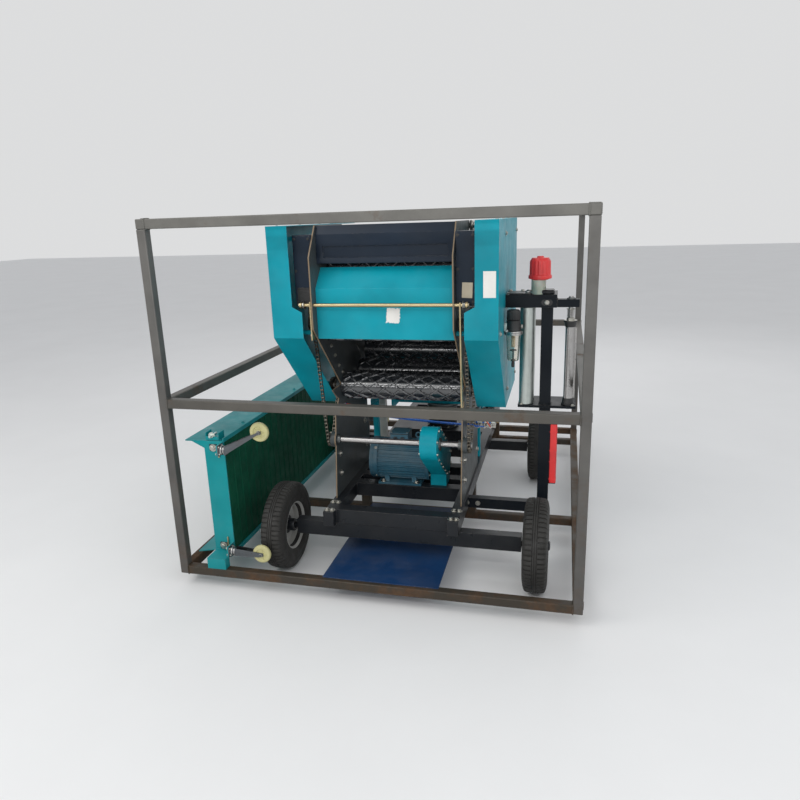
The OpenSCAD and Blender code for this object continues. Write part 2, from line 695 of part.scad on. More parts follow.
// Valves inside the guard, and the filter with its bowl outside it
filter_x = 575;
filter_y = 465;
filter_z = 1115;
module air_fittings() color(steel) {
  x0 = mx + half_w + plate_t;
  y0 = front + pipe_y - 15;
  box(x0, x0 + 130, y0 + 30, y0 + 34, pipe_z - 50, pipe_z + 20);
  box(x0 + 20, x0 + 130, y0, y0 + 30, pipe_z - 20, pipe_z + 20);
  for (i = [0 : 2])
    box(x0 + 30 + 32 * i, x0 + 56 + 32 * i, y0, y0 + 30, pipe_z + 20, pipe_z + 55);
  translate([filter_x, front + filter_y, filter_z]) rotate_extrude()
    polygon([[0, -165], [8, -165], [30, -150], [36, -60], [38, -10], [38, 0], [26, 4], [26, 62], [0, 62]]);
  box(mx + guard_out, filter_x, front + filter_y - 12, front + filter_y + 12, filter_z + 10, filter_z + 50);
}
// The pipe crosses the machine through a hole in each side plate
pipe_y = 610;
pipe_z = 680;
pipe_r = 5;
module air_pipes() color([0.15, 0.3, 0.65]) {
  x0 = half_w + plate_t;
  rod_x(pipe_r, mx - x0, mx + x0 + 20, front + pipe_y, pipe_z);
  box(mx - x0 - 24, mx - x0, front + pipe_y - 12, front + pipe_y + 12, pipe_z - 12, pipe_z + 12);
}

// Film stretcher: mast on an outrigger, base plate, top arm, two geared rollers and a spindle

film_x = side_in - film_reach;
roller_off = 80;
roller_gap = 85;
spindle_off = 105;
film_shaft_r = 8;
spindle_r = 10;
// Underside of the sleeved bar beside the mast
bar_low = 400;
module film_mast() color(dark) {
  x = film_x;
  y = front + mast_y;
  box(mx + rail_x + rail_w / 2, x + 20, y - 20, y + 20, rail_z, rail_z + 50);
  box(x - 20, x + 30, y - 20, y + 20, rail_z + 50, film_top);
  box(x + 30, x + 62, y - 20, y + 12, bar_low, film_low - 40);
  difference() {
    union() {
      box(x - 115, x + 140, y - 35, y + 130, film_low, film_low + 12);
      box(x - 175, x + 45, y - 35, y + 130, film_top, film_top + 56);
      box(x + 45, x + film_reach - 10, y - 20, y + 20, film_top, film_top + 34);
    }
    translate([x - roller_off, y, 0]) cylinder(r = film_shaft_r + fit, h = 1500);
    translate([x - roller_off, y + roller_gap, 0]) cylinder(r = film_shaft_r + fit, h = 1500);
    translate([x + spindle_off, y, 0]) cylinder(r = spindle_r + fit, h = 1500);
  }
  // oil jar with its cap over the arm
  translate([x - 35, y, film_top + 56]) cylinder(r = 32, h = 66);
  translate([x - 30, y, film_top + 122]) cylinder(r = 50, h = 96);
}
module film_roller(x, y) {
  translate([x, y, film_low + 12 + seat]) cylinder(r = film_roller_r, h = film_top - film_low - 12 - 2 * seat);
  translate([x, y, film_low - 4]) cylinder(r = film_shaft_r, h = film_top - film_low + 70);
}
module stretch_roller_1() color(steel) film_roller(film_x - roller_off, front + mast_y);
module stretch_roller_2() color(steel) film_roller(film_x - roller_off, front + mast_y + roller_gap);
module film_spindle() color(steel) {
  x = film_x + spindle_off;
  y = front + mast_y;
  translate([x, y, film_low + 12 + seat]) cylinder(r = 30, h = 380);
  translate([x, y, film_low - 4]) cylinder(r = spindle_r, h = film_top - film_low + 50);
}

// Wrapping table

table_y = front + axle_2;
table_low = table_z - 135;
module table_base() color(dark) {
  translate([mx, table_y, rail_top]) cylinder(r = table_hub_r, h = table_low - rail_top);
  translate([mx, table_y, rail_top]) cylinder(r = table_hub_r + 10, h = 12);
}
module turntable() color(teal) {
  z0 = table_low + seat;
  side_x = table_roller_l / 2 + 4;
  difference() {
    union() {
      box(mx - side_x - 8, mx + side_x + 8, table_y - 60, table_y + 60, z0, z0 + 40);
      for (s = [-1, 1])
        box(mx + s * (side_x + 4) - 4, mx + s * (side_x + 4) + 4, table_y - 215, table_y + 215, z0, table_z + 40);
    }
    for (s = [-1, 1])
      rod_x(10 + fit, mx - 400, mx + 400, table_y + s * table_half, table_z);
  }
}
module table_roller(s) {
  half = table_roller_l / 2;
  rod_x(table_roller_r, mx - half, mx + half, table_y + s * table_half, table_z);
  rod_x(10, mx - half - 16, mx + half + 16, table_y + s * table_half, table_z);
}
module table_roller_1() color(dark) table_roller(-1);
module table_roller_2() color(dark) table_roller(1);

ramp_half = 260;
ramp_y = 870;
ramp_end = 1195;
ramp_high = 766;
ramp_low = 661;
ramp_t = 6;
ramp_post = 1060;
module bale_ramp() color(teal) {
  sheet_x(mx - ramp_half, 2 * ramp_half)
    polygon([[front + ramp_y, ramp_high - ramp_t], [front + ramp_end, ramp_low - ramp_t],
      [front + ramp_end, ramp_low], [front + ramp_y, ramp_high]]);
  for (s = [-1, 1]) {
    box(mx + s * rail_x - 15, mx + s * rail_x + 15, front + ramp_post, front + ramp_post + 30,
      rail_top, ramp_low + 51);
    box(mx + s * (ramp_half - 2) - 2, mx + s * (ramp_half - 2) + 2, front + ramp_y, front + ramp_end,
      ramp_low - 20, ramp_low + 20);
  }
  box(mx - rail_x - 15, mx + rail_x + 15, front + ramp_post, front + ramp_post + 30, ramp_low + 11, ramp_low + 31);
}

// Feed conveyor, stowed on its side along the left of the frame

conv_share = 0.23;
conv_x = -tyre_side - conv_share * (side_in - tyre_side);
conv_y = front + conv_front;
conv_z = 145;
conv_t = 5;
flare_drop = 18;
belt_l = frame_l - conv_front - conv_back;
module conveyor_frame() color(teal) {
  x0 = conv_x - belt_d;
  z1 = conv_z + belt_w;
  // side channels, with a lip on each
  for (z = [conv_z, z1 - conv_t])
    box(x0, conv_x, conv_y, conv_y + belt_l, z, z + conv_t);
  for (z = [conv_z - 14, z1])
    box(conv_x - conv_t, conv_x, conv_y, conv_y + belt_l, z, z + 14);
  for (y = [conv_y, conv_y + belt_l - conv_t])
    box(x0, conv_x, y, y + conv_t, conv_z, z1);
  // flared walls
  for (y = [conv_y], s = [-1, 1]) {
    z = s < 0 ? conv_z : z1 - conv_t;
    translate([0, y + belt_l, 0]) rotate([90, 0, 0]) linear_extrude(belt_l)
      polygon([[x0 + 1, z], [x0 + 1, z + conv_t], [x0 - flare_w, z + conv_t + (s < 0 ? -flare_drop : 0)],
        [x0 - flare_w, z + (s < 0 ? -flare_drop : 0)]]);
  }
  // gussets at both ends of the flared walls
  for (y = [conv_y, conv_y + belt_l - conv_t])
    translate([0, y + conv_t, 0]) rotate([90, 0, 0]) linear_extrude(conv_t)
      polygon([[x0, z1 - conv_t], [x0, z1 - conv_t - 30], [x0 - 60, z1 - conv_t]]);
  // feet on the frame's front rail and bearers
  for (y = [front, front + bearer_1, front + bearer_2])
    box(x0 + 4, conv_x - 4, y, y + tube, frame_lift + tube, conv_z);
  box(x0 + 4, conv_x - 4, front, conv_y, conv_z, conv_z + 6);
  // brackets past both ends, for the casters
  for (k = [0, 1]) {
    box(conv_x - conv_t, conv_x, caster_y[0] - swivel_half, conv_y + conv_t, head_z[k] - 36, head_z[k] + 12);
    box(conv_x - conv_t, conv_x, conv_y + belt_l - conv_t, caster_y[1] + swivel_half,
      head_z[k] - 36, head_z[k] + 12);
  }
}

// Swivel casters on the conveyor's side: a plate, a head and two arms that hold the wheel
caster_x = [conv_x + 200, conv_x + 158];
caster_z = [conv_z + belt_w + 68, conv_z + 27];
head_z = [conv_z + belt_w - 12, conv_z + 40];
caster_over = 42;
swivel_half = 20;
caster_y = [conv_y - caster_over, conv_y + belt_l + caster_over];
arm_t = 3;
module fork(y, k) {
  x = caster_x[k];
  z = caster_z[k];
  half = caster_w / 2 + 1 + arm_t;
  box(conv_x, conv_x + 6, y - swivel_half, y + swivel_half, head_z[k] - 36, head_z[k] + 12);
  translate([conv_x + 5, y, head_z[k] - 12]) rotate([0, 90, 0]) cylinder(r = 17, h = 26);
  box(conv_x + 29, conv_x + 35, y - half, y + half, head_z[k] - 32, head_z[k] + 8);
  for (s = [-1, 1])
    translate([0, y + s * (half - arm_t / 2) + arm_t / 2, 0]) rotate([90, 0, 0]) linear_extrude(arm_t)
      polygon([[conv_x + 29, head_z[k] - 32], [x - 8, z - 12], [x + 12, z - 6], [x + 12, z + 8],
        [conv_x + 29, head_z[k] + 8]]);
  translate([x, y - half - 5, z]) rotate([-90, 0, 0]) cylinder(r = axle_pin, h = 2 * half + 10);
}
axle_pin = 6;
module caster_forks() color(steel)
  for (y = caster_y, k = [0, 1])
    fork(y, k);
module caster(i, k)
  translate([caster_x[k], caster_y[i] - caster_w / 2, caster_z[k]]) rotate([-90, 0, 0]) difference() {
    cylinder(r = caster_r, h = caster_w);
    translate([0, 0, -1]) cylinder(r = axle_pin + fit, h = caster_w + 2);
  }
module caster_1() color([0.85, 0.8, 0.65]) caster(0, 0);
module caster_2() color([0.85, 0.8, 0.65]) caster(0, 1);
module caster_3() color([0.85, 0.8, 0.65]) caster(1, 0);
module caster_4() color([0.85, 0.8, 0.65]) caster(1, 1);

module conveyor_belt() color([0.05, 0.25, 0.2])
  box(conv_x - belt_d + 8, conv_x - 6, conv_y + conv_t, conv_y + belt_l - conv_t,
    conv_z + conv_t, conv_z + belt_w - conv_t);

transport_posts();
transport_rails();
transport_bearers();
deck_sheet();
chassis();
front_axle();
side_plate_left();
side_plate_right();
guard_left();
guard_right();
inlet_baffle();
binder_box();
drive_chains();
drive_motor();
drive_case();
control_cabinet();
cabinet_door();
air_fittings();
air_pipes();
film_mast();
table_base();
bale_ramp();
conveyor_frame();
caster_forks();
conveyor_belt();
drive_shaft();
roller_1();
roller_2();
roller_3();
roller_4();
roller_5();
roller_6();
roller_7();
gate_plates();
gate_roller_1();
gate_roller_2();
gate_roller_3();
gate_roller_4();
gate_roller_5();
gate_roller_6();
gate_barrel_left();
gate_barrel_right();
gate_rod_left();
gate_rod_right();
lever_shaft();
turntable();
table_roller_1();
table_roller_2();
stretch_roller_1();
stretch_roller_2();
film_spindle();
steer_axle();
tyres_front_left();
tyres_front_right();
tyres_rear_left();
tyres_rear_right();
caster_1();
caster_2();
caster_3();
caster_4();
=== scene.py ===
# %% [markdown]
# # A small bale wrapper in its transport frame
#
# This lesson dresses a packed machine: a small towed baler whose chamber rolls a bale between
# ribbed rollers, and whose table turns the bale while film is wound round it. The construction
# is already there as a fixed frame of solids. We give every solid its finish, and we put finer
# meshes in the place of those whose look depends on detail, such as rollers, chains and tyres.

# %% Load the frame
import json
import math

import bmesh
import bpy
import numpy as np
from mathutils import Matrix, Vector


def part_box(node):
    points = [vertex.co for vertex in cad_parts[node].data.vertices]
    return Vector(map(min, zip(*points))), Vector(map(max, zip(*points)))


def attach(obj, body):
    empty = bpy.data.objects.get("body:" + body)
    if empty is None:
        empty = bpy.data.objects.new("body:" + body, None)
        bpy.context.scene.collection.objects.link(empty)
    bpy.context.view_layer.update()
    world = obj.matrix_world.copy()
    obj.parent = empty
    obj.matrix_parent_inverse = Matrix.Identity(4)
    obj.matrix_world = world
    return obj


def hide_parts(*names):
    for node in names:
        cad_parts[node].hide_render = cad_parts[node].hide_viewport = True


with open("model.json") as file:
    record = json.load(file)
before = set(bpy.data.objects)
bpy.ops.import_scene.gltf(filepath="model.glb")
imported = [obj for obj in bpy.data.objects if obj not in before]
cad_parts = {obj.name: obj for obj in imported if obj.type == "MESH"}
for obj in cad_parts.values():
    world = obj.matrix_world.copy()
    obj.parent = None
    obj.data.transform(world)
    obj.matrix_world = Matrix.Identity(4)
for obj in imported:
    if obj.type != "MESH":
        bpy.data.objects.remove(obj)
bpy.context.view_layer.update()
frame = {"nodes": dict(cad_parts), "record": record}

nodes = frame["nodes"]

# %% [markdown]
# ## Where things are
#
# A piece is never placed by eye. The frame says where each solid lies, so the main axes of the
# machine are read from the solids' own boxes, and everything that follows is worked out from them.

# %% Main axes of the machine
MM = 0.001


def span(node):
    """The lowest and highest corner of a solid, as two arrays."""
    lo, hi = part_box(node)
    return np.array(lo), np.array(hi)


def middle(node):
    """The middle of a solid's box."""
    lo, hi = span(node)
    return (lo + hi) / 2


body_of_node = {n: b for b, names in frame["record"]["behaviour"]["bodies"].items() for n in names}
MX = middle("roller_1")[0]
FRONT = span("transport_posts")[0][1]
drive_axis = middle("drive_shaft")
fixed_rollers = [f"roller_{i}" for i in range(1, 8)]
gate_rollers = [f"gate_roller_{i}" for i in range(1, 7)]
print("machine's middle at x =", round(MX, 3), "front at y =", round(FRONT, 3))

# %% [markdown]
# ## Meshes from arrays
#
# Every new surface is a grid of points that numpy works out at once. One helper turns a grid
# into faces, one puts arrays into a mesh, and one repeats a small mesh many times by adding an
# offset to a whole array. That is quicker than a loop over vertices and easier to read.

# %% Mesh helpers
def grid_faces(rows, cols, wrap_rows=False, wrap_cols=False):
    """Quads of a grid of rows x cols points, numbered row by row, joined end to end where wrapped."""
    r = np.arange(rows if wrap_rows else rows - 1)
    c = np.arange(cols if wrap_cols else cols - 1)
    r, c = np.meshgrid(r, c, indexing="ij")
    r2, c2 = (r + 1) % rows, (c + 1) % cols
    return np.stack([r * cols + c, r * cols + c2, r2 * cols + c2, r2 * cols + c], -1).reshape(-1, 4)


def capped_faces(rows, cols):
    """The faces of a closed strip of rings, each with cols points, and a cap at both ends."""
    faces = grid_faces(rows, cols, False, True).tolist()
    return faces + [list(range(cols))[::-1], list(range((rows - 1) * cols, rows * cols))]


def place(name, mesh, body, smooth=35.0, replaces=()):
    """An object for a finished mesh: normals outwards, smooth except at edges sharper than an angle."""
    bm = bmesh.new()
    bm.from_mesh(mesh)
    bmesh.ops.recalc_face_normals(bm, faces=bm.faces)
    bm.to_mesh(mesh)
    bm.free()
    mesh.polygons.foreach_set("use_smooth", np.ones(len(mesh.polygons), bool))
    mesh.set_sharp_from_angle(angle=math.radians(smooth))
    obj = bpy.data.objects.new(name, mesh)
    bpy.context.scene.collection.objects.link(obj)
    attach(obj, body)
    if replaces:
        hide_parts(*replaces)
    return obj


def join(parts):
    """Several (points, faces) pairs as one pair."""
    points, faces, count = [], [], 0
    for p, f in parts:
        p = np.asarray(p, float).reshape(-1, 3)
        points.append(p)
        faces += [[i + count for i in face] for face in f]
        count += len(p)
    return np.concatenate(points), faces


def repeat(part, offsets):
    """A small mesh copied to each offset, as one mesh."""
    p, f = part
    p = np.asarray(p, float)
    offsets = np.asarray(offsets, float).reshape(-1, 3)
    points = (p[None] + offsets[:, None]).reshape(-1, 3)
    faces = [[i + k * len(p) for i in face] for k in range(len(offsets)) for face in f]
    return points, faces


def turned(part, axis, angle, about=(0, 0, 0)):
    """A mesh turned about an axis through a point."""
    m = np.array(Matrix.Rotation(angle, 3, Vector(axis)))
    about = np.asarray(about, float)
    return (np.asarray(part[0], float) - about) @ m.T + about, part[1]


def moved(part, offset):
    """A mesh moved by an offset."""
    return np.asarray(part[0], float) + np.asarray(offset, float), part[1]


print("a grid of 3 x 4 points has", len(grid_faces(3, 4)), "quads")

# %% [markdown]
# ## Shapes that come again and again
#
# The parts of a machine are turned, sawn, folded or welded, and each way of making leaves its own
# kind of shape. A turned part is a profile swept round an axis. Blender's Screw modifier could do
# that too, but needs an object for every shape. Here one array product gives all points.

# %% Turned parts
def frame_for(axis):
    """Two directions at right angles to an axis, which turn right-handed about it."""
    a = np.asarray(axis, float) / np.linalg.norm(axis)
    ref = np.array([0, 0, 1.0]) if abs(a[2]) < 0.9 else np.array([0, 1.0, 0])
    u = np.cross(ref, a)
    u /= np.linalg.norm(u)
    return a, u, np.cross(a, u)


def lathe(profile, centre, axis, n=48, closed=True):
    """A profile of (height along the axis, radius) points turned about the axis.

    The point at angle t is centre + height * axis + radius * (cos t * u + sin t * v). A closed
    profile makes a ring, and an open one is capped where its ends lie on the axis.
    """
    a, u, v = frame_for(axis)
    profile = np.asarray(profile, float)
    t = np.linspace(0, 2 * np.pi, n, endpoint=False)
    ring = np.cos(t)[:, None] * u + np.sin(t)[:, None] * v
    points = np.asarray(centre) + profile[None, :, :1] * a + profile[None, :, 1:] * ring[:, None]
    faces = grid_faces(n, len(profile), True, closed).tolist()
    return points.reshape(-1, 3), faces


def lathe_mm(profile, centre, axis, n=48, closed=True):
    """A turned shape whose profile is written in millimetres."""
    return lathe(np.asarray(profile, float) * MM, centre, axis, n, closed)


def capped_lathe(profile, centre, axis, n=24):
    """An open profile turned about an axis, with a flat cap on the ring at each of its ends."""
    points, faces = lathe(profile, centre, axis, n, closed=False)
    k = len(profile)
    return points, faces + [[i * k for i in range(n)][::-1], [i * k + k - 1 for i in range(n)]]


def rod(p0, p1, radius, n=24, round_by=0.0008):
    """A round bar between two points, with flat ends and a small round along their rims."""
    p0, p1 = np.asarray(p0, float), np.asarray(p1, float)
    end = np.linalg.norm(p1 - p0)
    b = min(round_by, radius * 0.4)
    pole, shoulder = radius * 0.02, radius - b
    profile = [[0, pole], [0, shoulder], [b, radius], [end - b, radius], [end, shoulder], [end, pole]]
    return capped_lathe(profile, p0, p1 - p0, n)


def directions(axis, angles):
    """Unit vectors at right angles to an axis: cos t * u + sin t * v for each angle t."""
    _, u, v = frame_for(axis)
    t = np.asarray(angles, float)[:, None]
    return np.cos(t) * u + np.sin(t) * v


print("a rod has", len(rod((0, 0, 0), (0, 0, 1), 0.01)[1]), "faces")

# %% [markdown]
# Sawn and folded parts have flat faces and sharp edges. No real edge is quite sharp, though, and its
# thin highlight is what the eye looks for, so a block is made with its edges cut from the start.

# %% Blocks and prisms
def block(lo, hi, bevel=0.0015):
    """A box whose twelve edges are cut at 45 degrees, so that each corner becomes three points.

    Point k of the corner with signs s is middle + s * (half size - bevel), without bevel along k.
    """
    lo, hi = np.minimum(lo, hi).astype(float), np.maximum(lo, hi).astype(float)
    cut = min(bevel, (hi - lo).min() * 0.3)
    signs = np.array(np.meshgrid([-1, 1], [-1, 1], [-1, 1], indexing="ij")).reshape(3, -1).T
    points = (lo + hi) / 2 + signs[:, None] * ((hi - lo) / 2 - cut * (1 - np.eye(3)))
    number = np.arange(24).reshape(2, 2, 2, 3)
    faces = number.reshape(8, 3).tolist()
    for axis in range(3):
        n = np.moveaxis(number, axis, 0)
        others = [other for other in range(3) if other != axis]
        faces += [n[side, (0, 1, 1, 0), (0, 0, 1, 1), axis].tolist() for side in (0, 1)]
        for a, b in ((0, 0), (0, 1), (1, 0), (1, 1)):
            faces.append(n[0, a, b, others].tolist() + n[1, a, b, others[::-1]].tolist())
    return points.reshape(-1, 3), faces


def prism(outline, axis, x0, x1):
    """A flat outline of (a, b) points in the two other axes, carried along an axis from x0 to x1."""
    outline = np.asarray(outline, float)
    n = len(outline)
    rest = [i for i in range(3) if i != axis]
    points = np.zeros((2, n, 3))
    points[:, :, rest[0]] = outline[:, 0]
    points[:, :, rest[1]] = outline[:, 1]
    points[0, :, axis], points[1, :, axis] = x0, x1
    return points.reshape(-1, 3), capped_faces(2, n)


print("a block has", len(block((0, 0, 0), (1, 1, 1))[1]), "faces")

# %% [markdown]
# Pipes, bolt heads and weld beads finish the set. A welder moves in small steps and each step leaves
# a ripple, so a bead is a tube whose radius rises and falls. A bolt head is two six-sided prisms.

# %% Tubes, bolts and weld beads
WASHER_THICK = 0.0018
HEX_CORNER, HEX_CHAMFER = 0.577, 0.46


def tube(path, radius, n=12):
    """A round tube along a path: at each point a ring at right angles to the path's direction."""
    path = np.asarray(path, float)
    tangent = np.gradient(path, axis=0)
    tangent /= np.linalg.norm(tangent, axis=1)[:, None]
    ref = np.array([0.13, 0.21, 0.97])
    u = np.cross(tangent, ref)
    u /= np.linalg.norm(u, axis=1)[:, None]
    v = np.cross(tangent, u)
    t = np.linspace(0, 2 * np.pi, n, endpoint=False)
    radius = np.broadcast_to(radius, len(path))
    ring = np.cos(t)[None, :, None] * u[:, None] + np.sin(t)[None, :, None] * v[:, None]
    points = path[:, None] + ring * radius[:, None, None]
    return points.reshape(-1, 3), capped_faces(len(path), n)


def bolt(centre, axis, across=0.013, height=0.006, washer=True):
    """A hexagon head on a washer, on an axis: its corners lie 0.577 of the width across flats out."""
    a, u, v = frame_for(axis)
    c = np.asarray(centre, float)
    parts = []
    if washer:
        parts.append(rod(c, c + a * WASHER_THICK, across * 0.95, 16, 0.0003))
    foot = c + a * WASHER_THICK * washer
    t = np.arange(6) * np.pi / 3
    hexagon = across * (np.cos(t)[:, None] * u + np.sin(t)[:, None] * v)
    for top_r, from_h, to_h in ((HEX_CORNER, 0, 0.8), (HEX_CHAMFER, 0.8, 1.0)):
        low = foot + a * from_h * height + HEX_CORNER * hexagon
        top = foot + a * to_h * height + top_r * hexagon
        parts.append((np.concatenate([low, top]), capped_faces(2, 6)))
    return join(parts)


def bolts(spots, axis, across, height, washer=True):
    """The same bolt at several places."""
    return [bolt(spot, axis, across, height, washer) for spot in spots]


def weld(p0, p1, radius=0.0035, pitch=0.006):
    """A weld bead: a tube along a line whose radius rises and falls once for each ripple."""
    p0, p1 = np.asarray(p0, float), np.asarray(p1, float)
    n = max(4, int(np.linalg.norm(p1 - p0) / pitch * 3))
    t = np.linspace(0, 1, n)
    path = p0 + (p1 - p0) * t[:, None]
    ripple = 1 + 0.22 * np.sin(np.arange(n) * 2 * np.pi / 3)
    return tube(path, radius * ripple * np.clip(np.minimum(t, 1 - t) * n * 0.8, 0.35, 1), 7)


def ring_bar(centre, axis, radius, bar, n=56):
    """A thin ring: a small circle of bar radius carried round a circle of the ring's radius."""
    t = np.linspace(0, 2 * np.pi, 10, endpoint=False)
    profile = np.stack([bar * np.cos(t), radius + bar * np.sin(t)], -1)
    return lathe(profile, centre, axis, n)


print("a bolt has", len(bolt((0, 0, 0), (0, 0, 1))[1]), "faces")

# %% [markdown]
# ## Finishes
#
# Farm machines are sprayed in thick glossy paint over welded steel, so edges wear first and dust
# gathers in soft clouds. Each finish is one Principled shader whose colour, roughness and bump come
# from noise on Object coordinates. These helpers each add one or two nodes and return the output, so
# that a material reads as a few lines. A worn edge is found by comparing the true normal with a
# rounded one, which the Bevel node gives: they differ only close to an edge.

# %% Nodes for the finishes
def new_material(name):
    """An empty node material with its Principled shader."""
    m = bpy.data.materials.new(name)
    m.use_nodes = True
    return m, m.node_tree, m.node_tree.nodes["Principled BSDF"]


def noise(tree, scale, detail=4.0, rough=0.6, stretch=None):
    """Noise on Object coordinates, stretched by a Mapping node where a direction is given."""
    coords = tree.nodes.new("ShaderNodeTexCoord")
    n = tree.nodes.new("ShaderNodeTexNoise")
    n.inputs["Scale"].default_value = scale
    n.inputs["Detail"].default_value = detail
    n.inputs["Roughness"].default_value = rough
    if stretch:
        mapping = tree.nodes.new("ShaderNodeMapping")
        mapping.inputs["Scale"].default_value = stretch
        tree.links.new(coords.outputs["Object"], mapping.inputs[0])
        tree.links.new(mapping.outputs[0], n.inputs[0])
    else:
        tree.links.new(coords.outputs["Object"], n.inputs[0])
    return n.outputs["Fac"]


def ramp(tree, value, low, high, a=0.0, b=1.0):
    """A value mapped from low..high to a..b and clamped."""
    r = tree.nodes.new("ShaderNodeMapRange")
    for socket, number in zip(("From Min", "From Max", "To Min", "To Max"), (low, high, a, b)):
        r.inputs[socket].default_value = number
    tree.links.new(value, r.inputs["Value"])
    return r.outputs["Result"]


def blend_colour(tree, factor, a, b):
    """Colour a where the factor is 0 and b where it is 1; each is a colour or an output."""
    mix = tree.nodes.new("ShaderNodeMix")
    mix.data_type = "RGBA"
    tree.links.new(factor, mix.inputs[0])
    for value, socket in ((a, mix.inputs[6]), (b, mix.inputs[7])):
        if isinstance(value, (tuple, list)):
            socket.default_value = (*value, 1)
        else:
            tree.links.new(value, socket)
    return mix.outputs[2]


def math_node(tree, operation, a, b=None, clamp=True):
    """One Math node on outputs or plain numbers."""
    n = tree.nodes.new("ShaderNodeMath")
    n.operation = operation
    n.use_clamp = clamp
    for value, socket in ((a, n.inputs[0]), (b, n.inputs[1])):
        if value is None:
            continue
        if isinstance(value, (int, float)):
            socket.default_value = value
        else:
            tree.links.new(value, socket)
    return n.outputs[0]


def edges(tree, radius):
    """1 close to an edge and 0 away from it: one minus the dot of the true and the rounded normal."""
    bevel = tree.nodes.new("ShaderNodeBevel")
    bevel.samples = 4
    bevel.inputs["Radius"].default_value = radius
    geometry = tree.nodes.new("ShaderNodeNewGeometry")
    dot = tree.nodes.new("ShaderNodeVectorMath")
    dot.operation = "DOT_PRODUCT"
    tree.links.new(bevel.outputs[0], dot.inputs[0])
    tree.links.new(geometry.outputs["Normal"], dot.inputs[1])
    return ramp(tree, dot.outputs["Value"], 0.995, 0.9)


def bump(tree, shader, height, strength, distance=0.001):
    """A bump from a height output on the shader's normal."""
    b = tree.nodes.new("ShaderNodeBump")
    b.inputs["Strength"].default_value = strength
    b.inputs["Distance"].default_value = distance
    tree.links.new(height, b.inputs["Height"])
    tree.links.new(b.outputs[0], shader.inputs["Normal"])


def from_middle(tree, node_type, output, middle_x):
    """How far the X of a node's vector output lies from a value, without its sign."""
    source = tree.nodes.new(node_type)
    split = tree.nodes.new("ShaderNodeSeparateXYZ")
    tree.links.new(source.outputs[output], split.inputs[0])
    offset = math_node(tree, "SUBTRACT", split.outputs["X"], middle_x, False)
    return math_node(tree, "ABSOLUTE", offset, None, False)


# %% [markdown]
# Paint is a tone that drifts a little, then dust, then chips, each laid over the last. The side
# plates are laser cut and their burnt edges stay tan, so the paint can take a colour for them.

# %% Sprayed paint
PLATE_INNER, PLATE_OUTER, CUT_FADE = 0.2990, 0.3070, 0.0006


def painted(name, colour, rough=0.35, worn=(0.25, 0.23, 0.21), wear=0.5, dust=0.25, peel=0.12,
            dust_colour=(0.35, 0.31, 0.25), coat=0.0, shine=0.4, cut_edge=None):
    """Sprayed paint: a tone that drifts, dust in clouds, edges worn through, and a fine orange peel.

    cut_edge is the colour of faces whose normal has no X part, where the distance from the machine's
    middle lies within the plates' thickness.
    """
    m, tree, shader = new_material(name)
    drift = noise(tree, 3.0, 3.0)
    dark = tuple(c * 0.82 for c in colour)
    light = tuple(min(1.0, c * 1.12) for c in colour)
    tone = blend_colour(tree, ramp(tree, drift, 0.35, 0.65), dark, light)
    clouds = ramp(tree, noise(tree, 7.0, 6.0, 0.65), 0.45, 0.75, 0.0, dust)
    tone = blend_colour(tree, clouds, tone, dust_colour)
    chips = ramp(tree, noise(tree, 90.0, 5.0, 0.7), 0.5, 0.62)
    bare = math_node(tree, "MULTIPLY", math_node(tree, "MULTIPLY", edges(tree, 0.004), chips), wear)
    tone = blend_colour(tree, bare, tone, worn)
    if cut_edge:
        facing = ramp(tree, from_middle(tree, "ShaderNodeNewGeometry", "Normal", 0.0), 0.45, 0.35)
        depth = from_middle(tree, "ShaderNodeTexCoord", "Object", MX)
        within = math_node(tree, "MULTIPLY", ramp(tree, depth, PLATE_INNER, PLATE_INNER + CUT_FADE),
                           ramp(tree, depth, PLATE_OUTER, PLATE_OUTER - CUT_FADE))
        tone = blend_colour(tree, math_node(tree, "MULTIPLY", facing, within), tone, cut_edge)
    tree.links.new(tone, shader.inputs["Base Color"])
    scuffs = ramp(tree, noise(tree, 14.0, 8.0, 0.7), 0.3, 0.7, rough * 0.8, rough * 1.35)
    tree.links.new(scuffs, shader.inputs["Roughness"])
    bump(tree, shader, noise(tree, 260.0, 2.0), peel, 0.0006)
    shader.inputs["Specular IOR Level"].default_value = shine
    if coat:
        shader.inputs["Coat Weight"].default_value = coat
        shader.inputs["Coat Roughness"].default_value = 0.12
    return m


# %% [markdown]
# Bare metal shows its grain more in how it shines than in its colour, so the same noise drives the
# roughness and a faint bump. Moulded plastic and rubber only change their tone a little.

# %% Metal, plastic and rubber
def metal(name, colour, rough=0.3, grain=(1, 1, 1), scale=160.0, stain=0.2,
          stain_colour=(0.12, 0.08, 0.05), strength=0.1):
    """Bare or plated metal: fine grain in one direction, and stains in soft patches."""
    m, tree, shader = new_material(name)
    shader.inputs["Metallic"].default_value = 1.0
    patches = ramp(tree, noise(tree, 18.0, 6.0, 0.7), 0.5, 0.8, 0.0, stain)
    tree.links.new(blend_colour(tree, patches, colour, stain_colour), shader.inputs["Base Color"])
    lines = noise(tree, scale, 4.0, 0.6, grain)
    tree.links.new(ramp(tree, lines, 0.3, 0.7, rough * 0.7, rough * 1.4), shader.inputs["Roughness"])
    bump(tree, shader, lines, strength, 0.0004)
    return m


